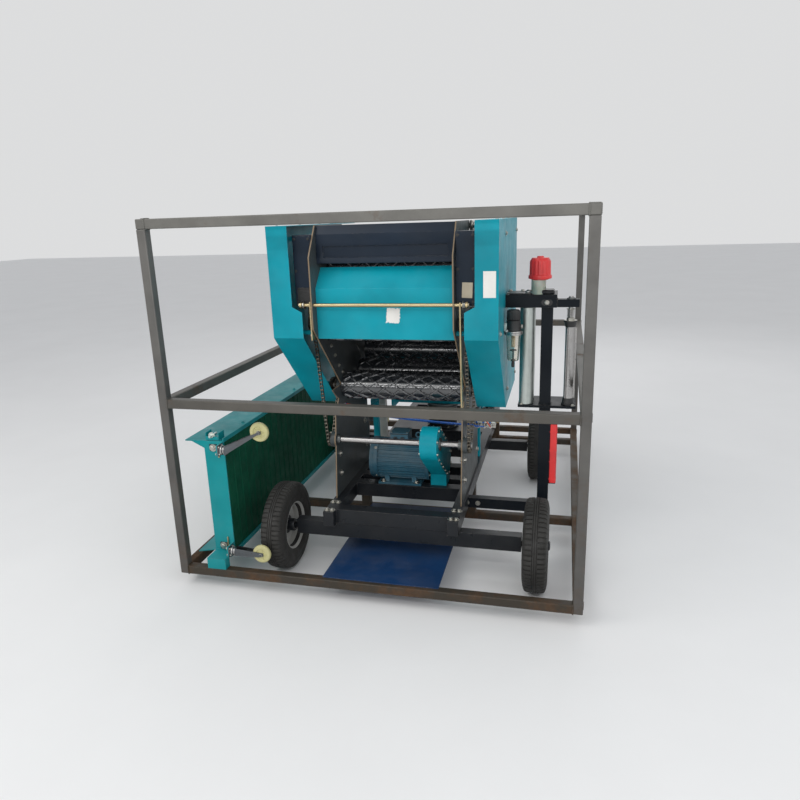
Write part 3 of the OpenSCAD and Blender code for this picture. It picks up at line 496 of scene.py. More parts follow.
def plastic(name, colour, rough=0.4, grain=0.05, vary=0.12, scale=300.0, shine=0.5):
    """Moulded plastic or rubber: a slight change of tone and a fine grain."""
    m, tree, shader = new_material(name)
    light = tuple(min(1.0, c * (1 + vary)) for c in colour)
    dark = tuple(c * (1 - vary) for c in colour)
    tree.links.new(blend_colour(tree, ramp(tree, noise(tree, 9.0), 0.35, 0.65), dark, light),
                   shader.inputs["Base Color"])
    tree.links.new(ramp(tree, noise(tree, 25.0, 6.0), 0.3, 0.7, rough * 0.8, rough * 1.25),
                   shader.inputs["Roughness"])
    shader.inputs["Specular IOR Level"].default_value = shine
    bump(tree, shader, noise(tree, scale, 2.0), grain, 0.0006)
    return m


# %% [markdown]
# Colours are linear values, as the shader wants them, so a dark paint is darker here than it looks.
# Each was set by rendering the machine in plain light and comparing it with the real one.

# %% The finishes
GREY_DUST = (0.14, 0.13, 0.115)
STEEL_SHOWS = (0.2, 0.18, 0.16)

teal = painted("turquoise_paint", (0.003, 0.30, 0.38), 0.36, wear=0.4, dust=0.03, shine=0.2)
teal_old = painted("turquoise_paint_dusty", (0.004, 0.245, 0.265), 0.42, wear=0.6, dust=0.06, shine=0.2)
black = painted("black_paint", (0.014, 0.016, 0.019), 0.3, STEEL_SHOWS, 0.6, 0.06, dust_colour=GREY_DUST,
                shine=0.25)
# The rollers' paint wears to a pale grey at the ribs' edges: bare steel, and partly a painted highlight that
# brightens the rib tops.
gloss_black = painted("gloss_black_paint", (0.014, 0.017, 0.021), 0.2, (0.35, 0.35, 0.35), 0.8, 0.02, 0.03,
                      GREY_DUST, coat=1.0, shine=1.0)
mast_black = painted("mast_paint", (0.007, 0.010, 0.014), 0.34, STEEL_SHOWS, 0.5, 0.03, dust_colour=GREY_DUST,
                     shine=0.15)
box_black = painted("box_paint", (0.010, 0.019, 0.034), 0.34, wear=0.4, dust=0.05, dust_colour=GREY_DUST,
                    shine=0.2)
plate_grey = painted("plate_paint", (0.055, 0.065, 0.068), 0.36, wear=0.6, dust=0.12,
                     cut_edge=(0.23, 0.165, 0.10))
motor_grey = painted("motor_paint", (0.03, 0.11, 0.16), 0.4, wear=0.4, dust=0.25)
cabinet_grey = painted("cabinet_paint", (0.52, 0.52, 0.49), 0.45, wear=0.25, dust=0.15, peel=0.25)
deck_blue = painted("deck_paint", (0.006, 0.035, 0.11), 0.38, wear=0.5, dust=0.08)
bright = metal("bright_steel", (0.44, 0.43, 0.42), 0.32)
fork_zinc = metal("fork_zinc", (0.13, 0.14, 0.15), 0.34, stain=0.3)
cast = metal("bearing_iron", (0.16, 0.17, 0.17), 0.5, stain=0.4)
zinc = metal("yellow_zinc", (0.52, 0.42, 0.24), 0.34, stain=0.4, stain_colour=(0.30, 0.21, 0.09))
bolt_steel = metal("plated_bolts", (0.46, 0.45, 0.41), 0.35, stain=0.3)
chain_steel = metal("oiled_chain", (0.16, 0.145, 0.12), 0.38, stain=0.5)
aluminium = metal("roller_aluminium", (0.62, 0.66, 0.62), 0.36, grain=(1, 1, 0.06), scale=240.0, stain=0.15,
                  stain_colour=(0.36, 0.4, 0.36))
rubber = plastic("tyre_rubber", (0.022, 0.021, 0.019), 0.72, 0.35, 0.25, 120.0)
belt = plastic("belt_rubber", (0.003, 0.070, 0.037), 0.6, 0.4, 0.2, 90.0, shine=0.15)
cream = plastic("cream_nylon", (0.50, 0.47, 0.23), 0.42)
red = plastic("red_plastic", (0.72, 0.035, 0.035), 0.32)
red_tube = plastic("red_air_tube", (0.62, 0.07, 0.025), 0.25)
blue_tube = plastic("blue_air_tube", (0.012, 0.10, 0.42), 0.25)
black_plastic = plastic("black_plastic", (0.02, 0.02, 0.02), 0.45, 0.2)
label = plastic("blank_label", (0.78, 0.76, 0.72), 0.6, 0.1, 0.06)
label_beige = plastic("blank_card_label", (0.50, 0.44, 0.33), 0.7, 0.2, 0.12)
print("finishes:", len(bpy.data.materials))

# %% [markdown]
# The transport frame is plain tube from the mill. Its tone is darker towards the bottom: the posts and
# the top rail are a light grey scale, the middle rail is browner, and the lower rail is darkest, with
# rust. So one value, the height, blends two tones, and rust is noise whose threshold falls with height.

# %% The frame's mill scale and rust
SCALE_DARK, STEEL_RUBBED = (0.035, 0.033, 0.032), (0.24, 0.23, 0.21)
RUST_DEEP, RUST_FRESH = (0.075, 0.040, 0.020), (0.14, 0.075, 0.038)


def mill_steel(name, low_tone, high_tone, rust_share):
    """Mill scale from a low to a high tone over Object Z, with brown streaks near the floor."""
    m, tree, shader = new_material(name)
    coords = tree.nodes.new("ShaderNodeTexCoord")
    split = tree.nodes.new("ShaderNodeSeparateXYZ")
    tree.links.new(coords.outputs["Object"], split.inputs[0])
    # the tone is darker towards the bottom, blended by height
    level = blend_colour(tree, ramp(tree, split.outputs["Z"], 0.1, 1.6), low_tone, high_tone)
    patches = ramp(tree, noise(tree, 5.0, 5.0), 0.35, 0.65, 0.0, 0.35)
    tone = blend_colour(tree, patches, level, SCALE_DARK)
    threshold = ramp(tree, split.outputs["Z"], 0.05, 1.2, 0.44, 0.62)
    above = math_node(tree, "SUBTRACT", noise(tree, 6.5, 8.0, 0.72), threshold)
    rust = ramp(tree, above, 0.0, 0.16, 0.0, rust_share)
    rust_tone = blend_colour(tree, ramp(tree, noise(tree, 60.0, 4.0), 0.3, 0.7), RUST_DEEP, RUST_FRESH)
    tone = blend_colour(tree, rust, tone, rust_tone)
    bare = math_node(tree, "MULTIPLY", edges(tree, 0.005), ramp(tree, noise(tree, 50.0, 5.0), 0.45, 0.65))
    tone = blend_colour(tree, math_node(tree, "MULTIPLY", bare, 0.5), tone, STEEL_RUBBED)
    tree.links.new(tone, shader.inputs["Base Color"])
    shader.inputs["Metallic"].default_value = 0.2
    shader.inputs["Specular IOR Level"].default_value = 0.3
    tree.links.new(ramp(tree, rust, 0.0, 0.75, 0.45, 0.85), shader.inputs["Roughness"])
    bump(tree, shader, noise(tree, 120.0, 6.0, 0.7), 0.25, 0.0008)
    return m


mill = mill_steel("mill_scale_rails", (0.050, 0.040, 0.028), (0.170, 0.165, 0.150), 0.7)
mill_post = mill_steel("mill_scale_posts", (0.100, 0.096, 0.090), (0.150, 0.145, 0.135), 0.3)
print("mill scale:", mill.name, mill_post.name)

# %% [markdown]
# ## Solids that keep their shape
#
# Many solids are right as they are and only miss the small round that every real edge has. We
# take a copy of such a solid, merge its loose triangles, let a Bevel modifier round the edges
# that are sharper than 35 degrees, and show that copy in the solid's place.

# %% Bevelled copies of solids
SHARP_EDGE, ALMOST_FLAT = math.radians(35), math.radians(0.6)


def softened(node, material, width=0.0015, segments=2, drop=None, join_flat=True):
    """A merged copy of a node's mesh with its sharp edges rounded by a Bevel modifier.

    Flat neighbours are joined into one face, but not where a face would go all round an opening.
    Where drop is given, it says for an array of face middles which faces another piece takes over.
    """
    mesh = nodes[node].data.copy()
    mesh.name = node + "_soft"
    mesh.transform(nodes[node].matrix_world)
    bm = bmesh.new()
    bm.from_mesh(mesh)
    bmesh.ops.remove_doubles(bm, verts=bm.verts, dist=2e-5)
    if join_flat:
        bmesh.ops.dissolve_limit(bm, angle_limit=ALMOST_FLAT, verts=bm.verts, edges=bm.edges)
    if drop:
        gone = drop(np.array([f.calc_center_median() for f in bm.faces]))
        bm.faces.ensure_lookup_table()
        bmesh.ops.delete(bm, geom=[bm.faces[i] for i in np.flatnonzero(gone)], context="FACES")
    bm.to_mesh(mesh)
    bm.free()
    mesh.materials.clear()
    mesh.materials.append(material)
    mesh.polygons.foreach_set("material_index", np.zeros(len(mesh.polygons), np.int32))
    obj = place(node + "_dressed", mesh, body_of_node[node], 35.0, (node,))
    mod = obj.modifiers.new("edge round", "BEVEL")
    mod.width = width
    mod.segments = segments
    mod.limit_method = "ANGLE"
    mod.angle_limit = SHARP_EDGE
    mod.harden_normals = False
    return obj


finish_of = {
    "transport_posts": (mill_post, 0.004), "transport_rails": (mill, 0.004),
    "transport_bearers": (mill, 0.004), "deck_sheet": (deck_blue, 0.0005),
    "chassis": (black, 0.003), "front_axle": (black, 0.003), "steer_axle": (black, 0.002),
    "side_plate_left": (plate_grey, 0.0008), "side_plate_right": (plate_grey, 0.0008),
    "gate_plates": (plate_grey, 0.0008), "guard_left": (teal, 0.001), "guard_right": (teal, 0.001),
    "inlet_baffle": (teal, 0.001), "binder_box": (box_black, 0.002),
    "control_cabinet": (cabinet_grey, 0.002), "cabinet_door": (cabinet_grey, 0.002),
    "table_base": (black, 0.002), "bale_ramp": (teal, 0.001), "conveyor_frame": (teal_old, 0.001),
    "drive_case": (teal, 0.004), "turntable": (teal, 0.002), "lever_shaft": (zinc, 0.0006),
    "drive_motor": (motor_grey, 0.001), "caster_forks": (fork_zinc, 0.0006),
    "air_pipes": (blue_tube, 0.001), "conveyor_belt": (belt, 0.002),
}
with_openings = ("conveyor_frame",)
for node, (material, width) in finish_of.items():
    softened(node, material, width, join_flat=node not in with_openings)
print("softened solids:", len(finish_of))

# %% [markdown]
# ## Places for the details
#
# Details are placed in millimetres from the machine's middle, from the frame's front and over the
# floor, as one would measure them with a tape. The joints' own points come from the record, so a
# piece that turns is built round the axis on which it turns.

# %% Places and axes from the record
pivot = {j["child"]: np.array(j["pos_m"]) for j in frame["record"]["behaviour"]["joints"]}
slide_axis = {j["child"]: np.array(j["axis"]) for j in frame["record"]["behaviour"]["joints"]}
RIGHT, BACK, UP = np.eye(3)


def at(x, y, z):
    """A point from millimetres: across from the machine's middle, back from the frame's front, and up."""
    return np.array([MX + x * MM, FRONT + y * MM, z * MM])


def mirrored(part):
    """A mesh on the other side of the machine's middle."""
    points = np.array(part[0], float)
    points[:, 0] = 2 * MX - points[:, 0]
    return points, part[1]


def both_sides(parts):
    """Several meshes and their mirror images."""
    return list(parts) + [mirrored(part) for part in parts]


def in_finish(parts, material):
    """(mesh, material) pairs for several meshes of one finish."""
    return [(part, material) for part in parts]


def build(name, groups, body="root", smooth=35.0, replaces=()):
    """One object from (mesh, material) pairs, with a material slot for each material."""
    points, faces = join([part for part, _ in groups])
    materials = list(dict.fromkeys(material for _, material in groups))
    counts = [len(part[1]) for part, _ in groups]
    index = np.repeat([materials.index(material) for _, material in groups], counts)
    mesh = bpy.data.meshes.new(name)
    mesh.from_pydata(points.tolist(), [], faces)
    for material in materials:
        mesh.materials.append(material)
    mesh.polygons.foreach_set("material_index", index.astype(np.int32))
    print(f"{name}: {len(faces)} faces, {np.round(np.ptp(points, axis=0) / MM).astype(int)} mm")
    return place(name, mesh, body, smooth, replaces)


def dress(name, groups, node, smooth=35.0, instead=False):
    """A piece on a node's body, which is shown instead of that node if so asked."""
    return build(name, groups, body_of_node[node], smooth, (node,) if instead else ())


print("pivots:", len(pivot))

# %% [markdown]
# ## Ribbed rollers
#
# The chamber's rollers are steel tubes with flat bars welded round them in two screw lines that
# cross, so that the crop is gripped whichever way it slips. A rib is a small section carried along
# a helix. The section must lie across the rib's own direction and not across the roller, or the
# rib would look sheared, so every point is turned by the helix's slope.

# %% A rib along a helix
TUBE_R, RIB_END = 0.055, 0.012
RIB_LEAD, RIB_COUNT = 0.510, 6
SHAFT_R = 0.015
RIB_SECTION = [[-6, -1], [-4, 1.8], [-3.5, 6.8], [-2, 8], [2, 8], [3.5, 6.8], [4, 1.8], [6, -1]]


def helix_rib(centre, start, way, half):
    """A bar welded round a tube: helix angle = start + way * 2 pi x / lead, slope p = atan(2 pi r / lead).

    A point of the section, a across and h up, lies at x - way * a * sin p along the axis, turned by
    a * cos p / r from the helix, at the radius r + h.
    """
    section = np.array(RIB_SECTION) * MM
    slope = math.atan(2 * np.pi * TUBE_R / RIB_LEAD)
    x = np.linspace(-half, half, 66)[:, None]
    across, up = section[:, 0], section[:, 1]
    along = np.clip(x - way * across * math.sin(slope), -half, half)
    angle = start + way * 2 * np.pi * x / RIB_LEAD + across * math.cos(slope) / TUBE_R
    r = TUBE_R + up
    points = np.stack([centre[0] + along, centre[1] + r * np.cos(angle), centre[2] + r * np.sin(angle)], -1)
    return points.reshape(-1, 3), capped_faces(len(x), len(section))


print("rib slope:", round(math.degrees(math.atan(2 * np.pi * TUBE_R / RIB_LEAD)), 1), "degrees")

# %% [markdown]
# A sprocket is cut from plate, and only its outline tells it from a disc. Real teeth are arcs that
# meet. A wave between the root and the tip, clipped flat at both, comes close enough to seat the
# chain's rollers, and ten points draw each tooth.

# %% Sprockets
TEETH, PITCH, PITCH_R = 10, 0.01905, 0.031
ROOT_R, TOOTH_HEIGHT = 0.0252, 0.0092
PLATE_HALF, SPROCKET_HUB_R, HUB_LENGTH = 0.0035, 0.0215, 0.008
ROW_IN, ROW_OUT = 0.338, 0.358


def sprocket(centre, x):
    """A toothed plate and its hub: r = root + height * wave(t) ** 0.8, the wave a clipped cosine."""
    t = np.linspace(0, 2 * np.pi, TEETH * 10, endpoint=False)
    wave = np.clip(0.5 + 0.75 * np.cos(TEETH * t), 0, 1)
    r = ROOT_R + TOOTH_HEIGHT * wave ** 0.8
    outline = np.stack([centre[1] + r * np.cos(t), centre[2] + r * np.sin(t)], -1)
    hub_from = centre + RIGHT * (x - np.sign(x) * HUB_LENGTH)
    plate = prism(outline, 0, centre[0] + x - PLATE_HALF, centre[0] + x + PLATE_HALF)
    return [plate, rod(hub_from, centre + RIGHT * x, SPROCKET_HUB_R, 28)]


print("pitch circle of a sprocket:", round(1000 * PITCH / math.sin(np.pi / TEETH), 1), "mm")

# %% [markdown]
# Each roller is put together in its place: the tube with its end discs, six ribs each way, the
# shaft and the sprockets. The real ribs are only welded over each other where they cross, so the
# meshes simply pass through one another, and no Boolean is needed.

# %% The thirteen rollers
FIXED_HALF, GATE_HALF = 0.297, 0.290
GATE_SHAFT_END, BEYOND_SPROCKET, RIM_CUT = 0.3315, 0.0075, 0.0015


def ribbed_roller(name, rows, end, half):
    """A roller: tube with drilled end discs, twelve crossed ribs, shaft, and a sprocket in each row."""
    c = pivot[name]
    rim, cut_r = half - RIM_CUT, TUBE_R - RIM_CUT
    skin = [[-half, SHAFT_R], [-half, cut_r], [-rim, TUBE_R], [rim, TUBE_R], [half, cut_r], [half, SHAFT_R]]
    starts = 2 * np.pi * np.arange(RIB_COUNT) / RIB_COUNT
    ribs = [helix_rib(c, start, way, half - RIB_END) for start in starts for way in (-1, 1)]
    groups = in_finish([lathe(skin, c, RIGHT, 64)] + ribs, gloss_black)
    groups.append((rod(c - RIGHT * end, c + RIGHT * end, SHAFT_R, 28, 0.0015), bright))
    for side in (-1, 1):
        for row in rows:
            groups += in_finish(sprocket(c, side * row), chain_steel)
        groups.append((bolt(c + RIGHT * side * end, RIGHT * side, 0.013, 0.001, False), bolt_steel))
    return dress(name + "_ribbed", groups, name, 30.0, True)


rows_of = dict(zip(fixed_rollers, 3 * [[ROW_OUT]] + 3 * [[ROW_IN, ROW_OUT]] + [[ROW_IN]]))
for name in fixed_rollers:
    ribbed_roller(name, rows_of[name], max(rows_of[name]) + BEYOND_SPROCKET, FIXED_HALF)
for name in gate_rollers:
    ribbed_roller(name, [], GATE_SHAFT_END, GATE_HALF)
print("rollers:", len(fixed_rollers + gate_rollers), "with", 2 * RIB_COUNT, "ribs each")

# %% [markdown]
# ## Roller chains
#
# A roller chain is two kinds of link in turn: inner plates with rollers between them, and outer
# plates with pins. The path of a chain is the tight belt round its sprockets, which is straight
# runs and arcs. The path is cut into an even number of pitches, and one link mesh of each kind is
# turned and moved to all its places in a single array operation.

# %% A chain's path and links
LINK_END_R, LINK_WAIST = 0.0066, 0.0046


def chain_path(points, r):
    """Closed path r outside the hull of points: straight runs along it and an arc about each corner."""
    points = np.asarray(points, float)
    offset = points - points.mean(0)
    points = points[np.argsort(np.arctan2(offset[:, 1], offset[:, 0]))]
    d = np.roll(points, -1, 0) - points
    normal = np.arctan2(-d[:, 0], d[:, 1])
    before = np.roll(normal, 1)
    turn = (normal - before) % (2 * np.pi)
    arc = before[:, None] + turn[:, None] * np.linspace(0, 1, 40)
    path = points[:, None] + r * np.stack([np.cos(arc), np.sin(arc)], -1)
    path = path.reshape(-1, 2)
    return np.concatenate([path, path[:1]])


def even_points(path, step):
    """Points a whole, even number of steps apart along a closed path."""
    length = np.concatenate([[0], np.cumsum(np.linalg.norm(np.diff(path, axis=0), axis=1))])
    count = 2 * round(length[-1] / step / 2)
    s = np.linspace(0, length[-1], count, endpoint=False)
    return np.stack([np.interp(s, length, path[:, 0]), np.interp(s, length, path[:, 1])], -1)


def link_plates(x0, x1):
    """Two plates of a link, mirrored: round ends of radius 6.6 mm about the pins, and a waist."""
    t = np.linspace(-np.pi / 2, np.pi / 2, 6)
    end = np.stack([PITCH / 2 + LINK_END_R * np.cos(t), LINK_END_R * np.sin(t)], -1)
    outline = np.concatenate([end, [[0, LINK_WAIST]], -end, [[0, -LINK_WAIST]]])
    return [prism(outline, 0, x0, x1), prism(outline, 0, -x1, -x0)]


def link(plate_from, plate_to, pin_half, pin_r, sides):
    """A link along the second axis: its two plates, and a roller or a pin at each end."""
    ends = [np.array([0, s * PITCH / 2, 0]) for s in (-1, 1)]
    pins = [rod(end - RIGHT * pin_half, end + RIGHT * pin_half, pin_r, sides) for end in ends]
    return join(link_plates(plate_from, plate_to) + pins)


def chain(points, x):
    """A chain in the plane x: each link turned to the line from its first pin to its next."""
    pins = even_points(chain_path(points, PITCH_R), PITCH)
    step = np.roll(pins, -1, 0) - pins
    mid = pins + step / 2
    d = step / np.linalg.norm(step, axis=1)[:, None]
    parts = []
    for first, (p, f) in ((0, inner_link), (1, outer_link)):
        m, u = mid[first::2], d[first::2]
        y = m[:, None, 0] + p[None, :, 1] * u[:, None, 0] + p[None, :, 2] * u[:, None, 1]
        z = m[:, None, 1] + p[None, :, 1] * u[:, None, 1] - p[None, :, 2] * u[:, None, 0]
        placed = np.stack([np.broadcast_to(x + p[None, :, 0], y.shape), y, z], -1)
        faces = [[i + k * len(p) for i in face] for k in range(len(m)) for face in f]
        parts.append((placed.reshape(-1, 3), faces))
    return join(parts)


inner_link = link(0.0041, 0.0054, 0.0040, 0.0055, 10)
outer_link = link(0.0056, 0.0067, 0.0071, 0.0026, 8)
print("faces of a pair of links:", len(inner_link[1]) + len(outer_link[1]))

# %% [markdown]
# The drive shaft turns two rollers, and short chains carry the motion on from roller to roller.
# Chains that share a roller run in two rows side by side.

# %% Four chains on each side
drive_yz = pivot["drive_shaft"][1:]
axis_yz = {name: pivot[name][1:] for name in fixed_rollers}
chain_loops = [
    (ROW_IN, [axis_yz["roller_4"], axis_yz["roller_5"], drive_yz]),
    (ROW_OUT, [axis_yz[f"roller_{i}"] for i in (1, 2, 3, 4)]),
    (ROW_OUT, [axis_yz["roller_5"], axis_yz["roller_6"]]),
    (ROW_IN, [axis_yz["roller_6"], axis_yz["roller_7"]]),
]
chains = [chain(points, MX + side * row) for side in (-1, 1) for row, points in chain_loops]
build("roller_chains", in_finish(chains, chain_steel), "root", 40.0, ("drive_chains",))
print("chain links:", sum(len(even_points(chain_path(p, PITCH_R), PITCH)) for _, p in chain_loops) * 2)

# %% [markdown]
# The drive shaft carries the same sprockets, with a collar inside each plate, so it is built from
# the same helpers and takes the plain shaft's place.

# %% Drive shaft
SHAFT_END, COLLAR_FROM, COLLAR_TO, COLLAR_R = 0.3475, 0.284, 0.299, 0.024

c = pivot["drive_shaft"]
groups = [(rod(c - RIGHT * SHAFT_END, c + RIGHT * SHAFT_END, SHAFT_R, 32, 0.0015), bright)]
for out in (-RIGHT, RIGHT):
    groups += in_finish(sprocket(c, out[0] * ROW_IN), chain_steel)
    groups.append((rod(c + out * COLLAR_FROM, c + out * COLLAR_TO, COLLAR_R, 28), cast))
    groups.append((bolt(c + out * SHAFT_END, out, 0.013, 0.0005, False), bolt_steel))
build("drive_shaft_dressed", groups, "drive_shaft", 35.0, ("drive_shaft",))

# %% [markdown]
# ## Bearings
#
# Each roller turns in a flanged housing that is held by four bolts. The housing itself is part of
# the side plate's solid. What makes it read as a bearing is the ring of the inner race, the
# bolts and the grease nipple, so those are added on its face.

# %% Bearing faces
FACE, BOLT_CIRCLE = 0.328, 0.0305
RACE = [[-1, 16.5], [1.2, 16.5], [1.6, 17.5], [1.6, 22.5], [1.2, 23.5], [-1, 23.5]]


def bearing_face(centre, side):
    """The inner race, four bolts and a grease nipple on a housing's face."""
    out = RIGHT * side
    face = np.array([MX + side * FACE, centre[1], centre[2]])
    spots = face + BOLT_CIRCLE * directions(RIGHT, np.pi / 4 + np.arange(4) * np.pi / 2)
    parts = [lathe_mm(RACE, face, out, 32)] + bolts(spots, out, 0.008, 0.0016, False)
    foot = face + np.array([-side * 11, 0, 37.5]) * MM
    parts.append(rod(foot, foot + UP * 0.006, 0.0028, 10, 0.001))
    parts.append(rod(foot + UP * 0.006, foot + UP * 0.009, 0.0019, 10, 0.001))
    return join(parts)


fixed_faces = [bearing_face(pivot[n], s) for n in fixed_rollers + ["drive_shaft"] for s in (-1, 1)]
build("fixed_bearing_faces", in_finish(fixed_faces, bolt_steel))
gate_faces = [bearing_face(pivot[n], s) for n in gate_rollers for s in (-1, 1)]
build("gate_bearing_faces", in_finish(gate_faces, bolt_steel), "gate")

# %% [markdown]
# ## Tyres and wheels
#
# The tyres are small trailer tyres. Their tread has short grooves across both shoulders, 22 mm
# apart, and three grooves round the middle. The whole tyre is one grid: angle round the wheel by
# place along the profile. Where a groove lies, the radius is a little less. The grid is not even:
# it has close pairs of lines where a groove's wall stands.

# %% Tyre surface
TREAD_PITCHES, GROOVE_DEPTH = 59, 0.0055
HALF_PROFILE = np.array([
    [0, 98], [33, 101], [37, 106], [43, 111], [49, 121], [51.6, 134], [52.2, 140], [52.9, 143], [52.9, 147],
    [52.4, 150], [52.2, 162], [52.9, 165], [52.9, 168], [51.8, 171], [49.6, 184], [46.4, 194], [43, 199.5],
    [39, 202.6], [35, 204.4], [24, 206.2], [14, 207.1], [13.2, 207.2], [11.2, 207.2], [10.6, 202.6],
    [8.2, 202.6], [7.6, 207.4], [2, 207.5], [1.5, 204], [0, 204]]) * MM
GROOVED = (HALF_PROFILE[:, 1] > 0.1935) & (HALF_PROFILE[:, 0] > 0.0135)


def tyre(centre):
    """Radius = profile radius - depth * groove(angle) * shoulder(x), turned about X.

    The grooves of the right shoulder are shifted by half a pitch, through a smooth shear of the
    angle across the middle of the tread.
    """
    fractions = np.array([0.0, 0.06, 0.27, 0.33, 0.66])
    deep = np.tile([0.0, 1.0, 1.0, 0.0, 0.0], TREAD_PITCHES)
    angle = ((np.arange(TREAD_PITCHES)[:, None] + fractions) / TREAD_PITCHES * 2 * np.pi).ravel()
    left = HALF_PROFILE * [-1, 1]
    profile = np.concatenate([left, HALF_PROFILE[-2:0:-1]])
    weight = np.concatenate([GROOVED, GROOVED[-2:0:-1]]).astype(float)
    x, r0 = profile[:, 0], profile[:, 1]
    r = r0[None] - GROOVE_DEPTH * deep[:, None] * weight[None]
    shear = np.clip((x + 0.006) / 0.012, 0, 1) * np.pi / TREAD_PITCHES
    a = angle[:, None] + shear[None]
    y, z = centre[1] + r * np.cos(a), centre[2] + r * np.sin(a)
    points = np.stack([np.broadcast_to(centre[0] + x, a.shape), y, z], -1)
    return points.reshape(-1, 3), grid_faces(len(angle), len(x), True, True).tolist()


print("tread pitch:", round(2000 * np.pi * HALF_PROFILE[:, 1].max() / TREAD_PITCHES, 1), "mm")

# %% [markdown]
# A rim is pressed from sheet in two parts, a rolled barrel and a dished disc, with a turned hub
# through both. All three are round, so each is one profile, in millimetres from the wheel's middle.

# %% Rims and hubs
BARREL_PROFILE = [[-40, 110], [-43, 113], [-45, 112.5], [-45.5, 110], [-42, 107], [-36, 103.5], [-20, 102.5],
                  [-16, 97], [16, 97], [20, 102.5], [36, 103.5], [42, 107], [45.5, 110], [45, 112.5],
                  [43, 113], [40, 110], [34, 106.5], [22, 105.5], [17, 100], [-17, 100], [-22, 105.5],
                  [-34, 106.5]]
DISC_PROFILE = [[4, 28], [8, 42], [14, 48], [19, 60], [19, 74], [12, 86], [9, 97.5], [5, 98.5], [6, 86],
                [14, 73], [14, 61], [9, 50], [2, 43], [0, 28]]
HUB_PROFILE = [[-44, 16], [-44, 27], [-40, 29.5], [-8, 29.5], [-6, 43], [0, 43], [2, 36], [20, 30], [40, 28],
               [43, 26], [44, 23], [57, 21], [60, 17], [61, 8], [61, 0.3]]
NUTS, NUT_CIRCLE, NUT_SEAT = 5, 0.054, 0.0145
VALVE_FROM, VALVE_TO = np.array([12, 0, 82]) * MM, 0.026


def rim(centre, out):
    """A pressed steel rim: a rolled barrel, a dished disc with five nuts, and a hub with its cap."""
    side = RIGHT * out
    spots = centre + side * NUT_SEAT + NUT_CIRCLE * directions(RIGHT, 2 * np.pi * np.arange(NUTS) / NUTS)
    valve = centre + VALVE_FROM * [out, 1, 1]
    return [(lathe_mm(BARREL_PROFILE, centre, side, 72), rim_paint),
            (lathe_mm(DISC_PROFILE, centre, side, 72), rim_paint),
            (lathe_mm(HUB_PROFILE, centre, side, 40, closed=False), black),
            *in_finish(bolts(spots, side, 0.017, 0.011), bolt_steel),
            (rod(valve, valve + side * VALVE_TO, 0.0035, 10), black_plastic)]


rim_paint = painted("rim_paint", (0.44, 0.44, 0.42), 0.4, wear=0.4, dust=0.35)
for name in ("front_left", "front_right", "rear_left", "rear_right"):
    c = pivot["wheel_" + name]
    groups = [(tyre(c), rubber)] + rim(c, 1 if "right" in name else -1)
    build("wheel_" + name + "_dressed", groups, "wheel_" + name, 32.0, ("tyres_" + name,))

# %% [markdown]
# ## The inlet: lever shaft, boxes and labels
#
# The lever shaft is a yellow zinc rod across the inlet. Its plain solid is right, so it keeps its
# bevelled copy, and gets what the real rod has at its ends: a locknut, a washer and a stub of
# thread. A thread is a lathe profile of small teeth. Cut rings look the same as a screw line here.

# %% Lever shaft fittings
LOCKNUT, END_NUT, THREAD_FROM, THREAD_TO = 0.3395, 0.3612, 0.3480, 0.3512
LEVER_PIN, PIN_THREAD_FROM, PIN_THREAD_TO = np.array([-314, 0, -130]) * MM, 0.0060, 0.0074


def thread(p0, p1, radius, pitch=0.0015):
    """A threaded end: the radius rises and falls once for each pitch along the axis."""
    p0, p1 = np.asarray(p0, float), np.asarray(p1, float)
    end = np.linalg.norm(p1 - p0)
    rings = 2 * max(2, int(end / pitch)) + 1
    r = np.where(np.arange(rings) % 2 == 0, radius * 0.86, radius)
    profile = [[0, radius * 0.05], *zip(np.linspace(0, end, rings), r), [end, radius * 0.05]]
    return capped_lathe(profile, p0, p1 - p0, 20)


lever_c = pivot["lever_shaft"]
pin = lever_c + LEVER_PIN
parts = [bolt(pin, -RIGHT, 0.010, 0.005),
         thread(pin + RIGHT * PIN_THREAD_FROM, pin + RIGHT * PIN_THREAD_TO, 0.0035)]
for out in (-RIGHT, RIGHT):
    parts.append(bolt(lever_c + out * LOCKNUT, out, 0.019, 0.009))
    parts.append(bolt(lever_c + out * END_NUT, out, 0.017, 0.0035, False))
    parts.append(thread(lever_c + out * THREAD_FROM, lever_c + out * THREAD_TO, 0.0085))
build("lever_fittings", in_finish(parts, bolt_steel), "lever_shaft")

# %% [markdown]
# The black boxes in the front of the guards cover the ends of the drive. Each has a lid with a
# rim, screws and, on the left, a small grille. A grille is a row of slanted slats in a frame, and it
# throws real shadows, which a picture of one could not.

# %% Box lids and grille
LID_FRONT, LID_BACK = 255.6, 258.5
GRILLE_BORDER = ((-376, -372, 1274, 1342), (-324, -320, 1274, 1342),
                 (-376, -320, 1274, 1278), (-376, -320, 1338, 1342))


def slats(lo, hi, count, thick=0.0012):
    """Slats one above the other between two corners: each is a strip that rises to the back."""
    z = np.linspace(lo[2], hi[2], count + 1)
    rise = 0.7 * (z[1] - z[0])
    strips = [[[lo[1], foot], [hi[1], foot + rise], [hi[1], foot + rise + thick], [lo[1], foot + thick]]
              for foot in z[:-1]]
    return [prism(strip, 0, lo[0], hi[0]) for strip in strips]


groups = []
for side in (-1, 1):
    lid = block(at(side * 309.5, LID_FRONT, 1268), at(side * 384.5, LID_BACK, 1556), 0.0012)
    groups.append((lid, box_black))
    spots = [at(side * x, LID_FRONT, z) for x in (316, 378) for z in (1280, 1412, 1544)]
    groups += in_finish(bolts(spots, -BACK, 0.0065, 0.003), black_plastic)
grille = slats(at(-372, 251.5, 1278), at(-324, 255.0, 1338), 9)
grille.append(block(at(-376, 253.6, 1274), at(-320, 255.8, 1342), 0.0006))
grille += [block(at(x0, 250.8, z0), at(x1, 254.5, z1), 0.0005) for x0, x1, z0, z1 in GRILLE_BORDER]
card = turned(block(at(333, 255.0, 1296), at(376, 255.7, 1358), 0.0002), BACK, 0.04, at(354, 255, 1327))
build("box_lids", groups + in_finish(grille, black_plastic) + [(card, label_beige)], "root")

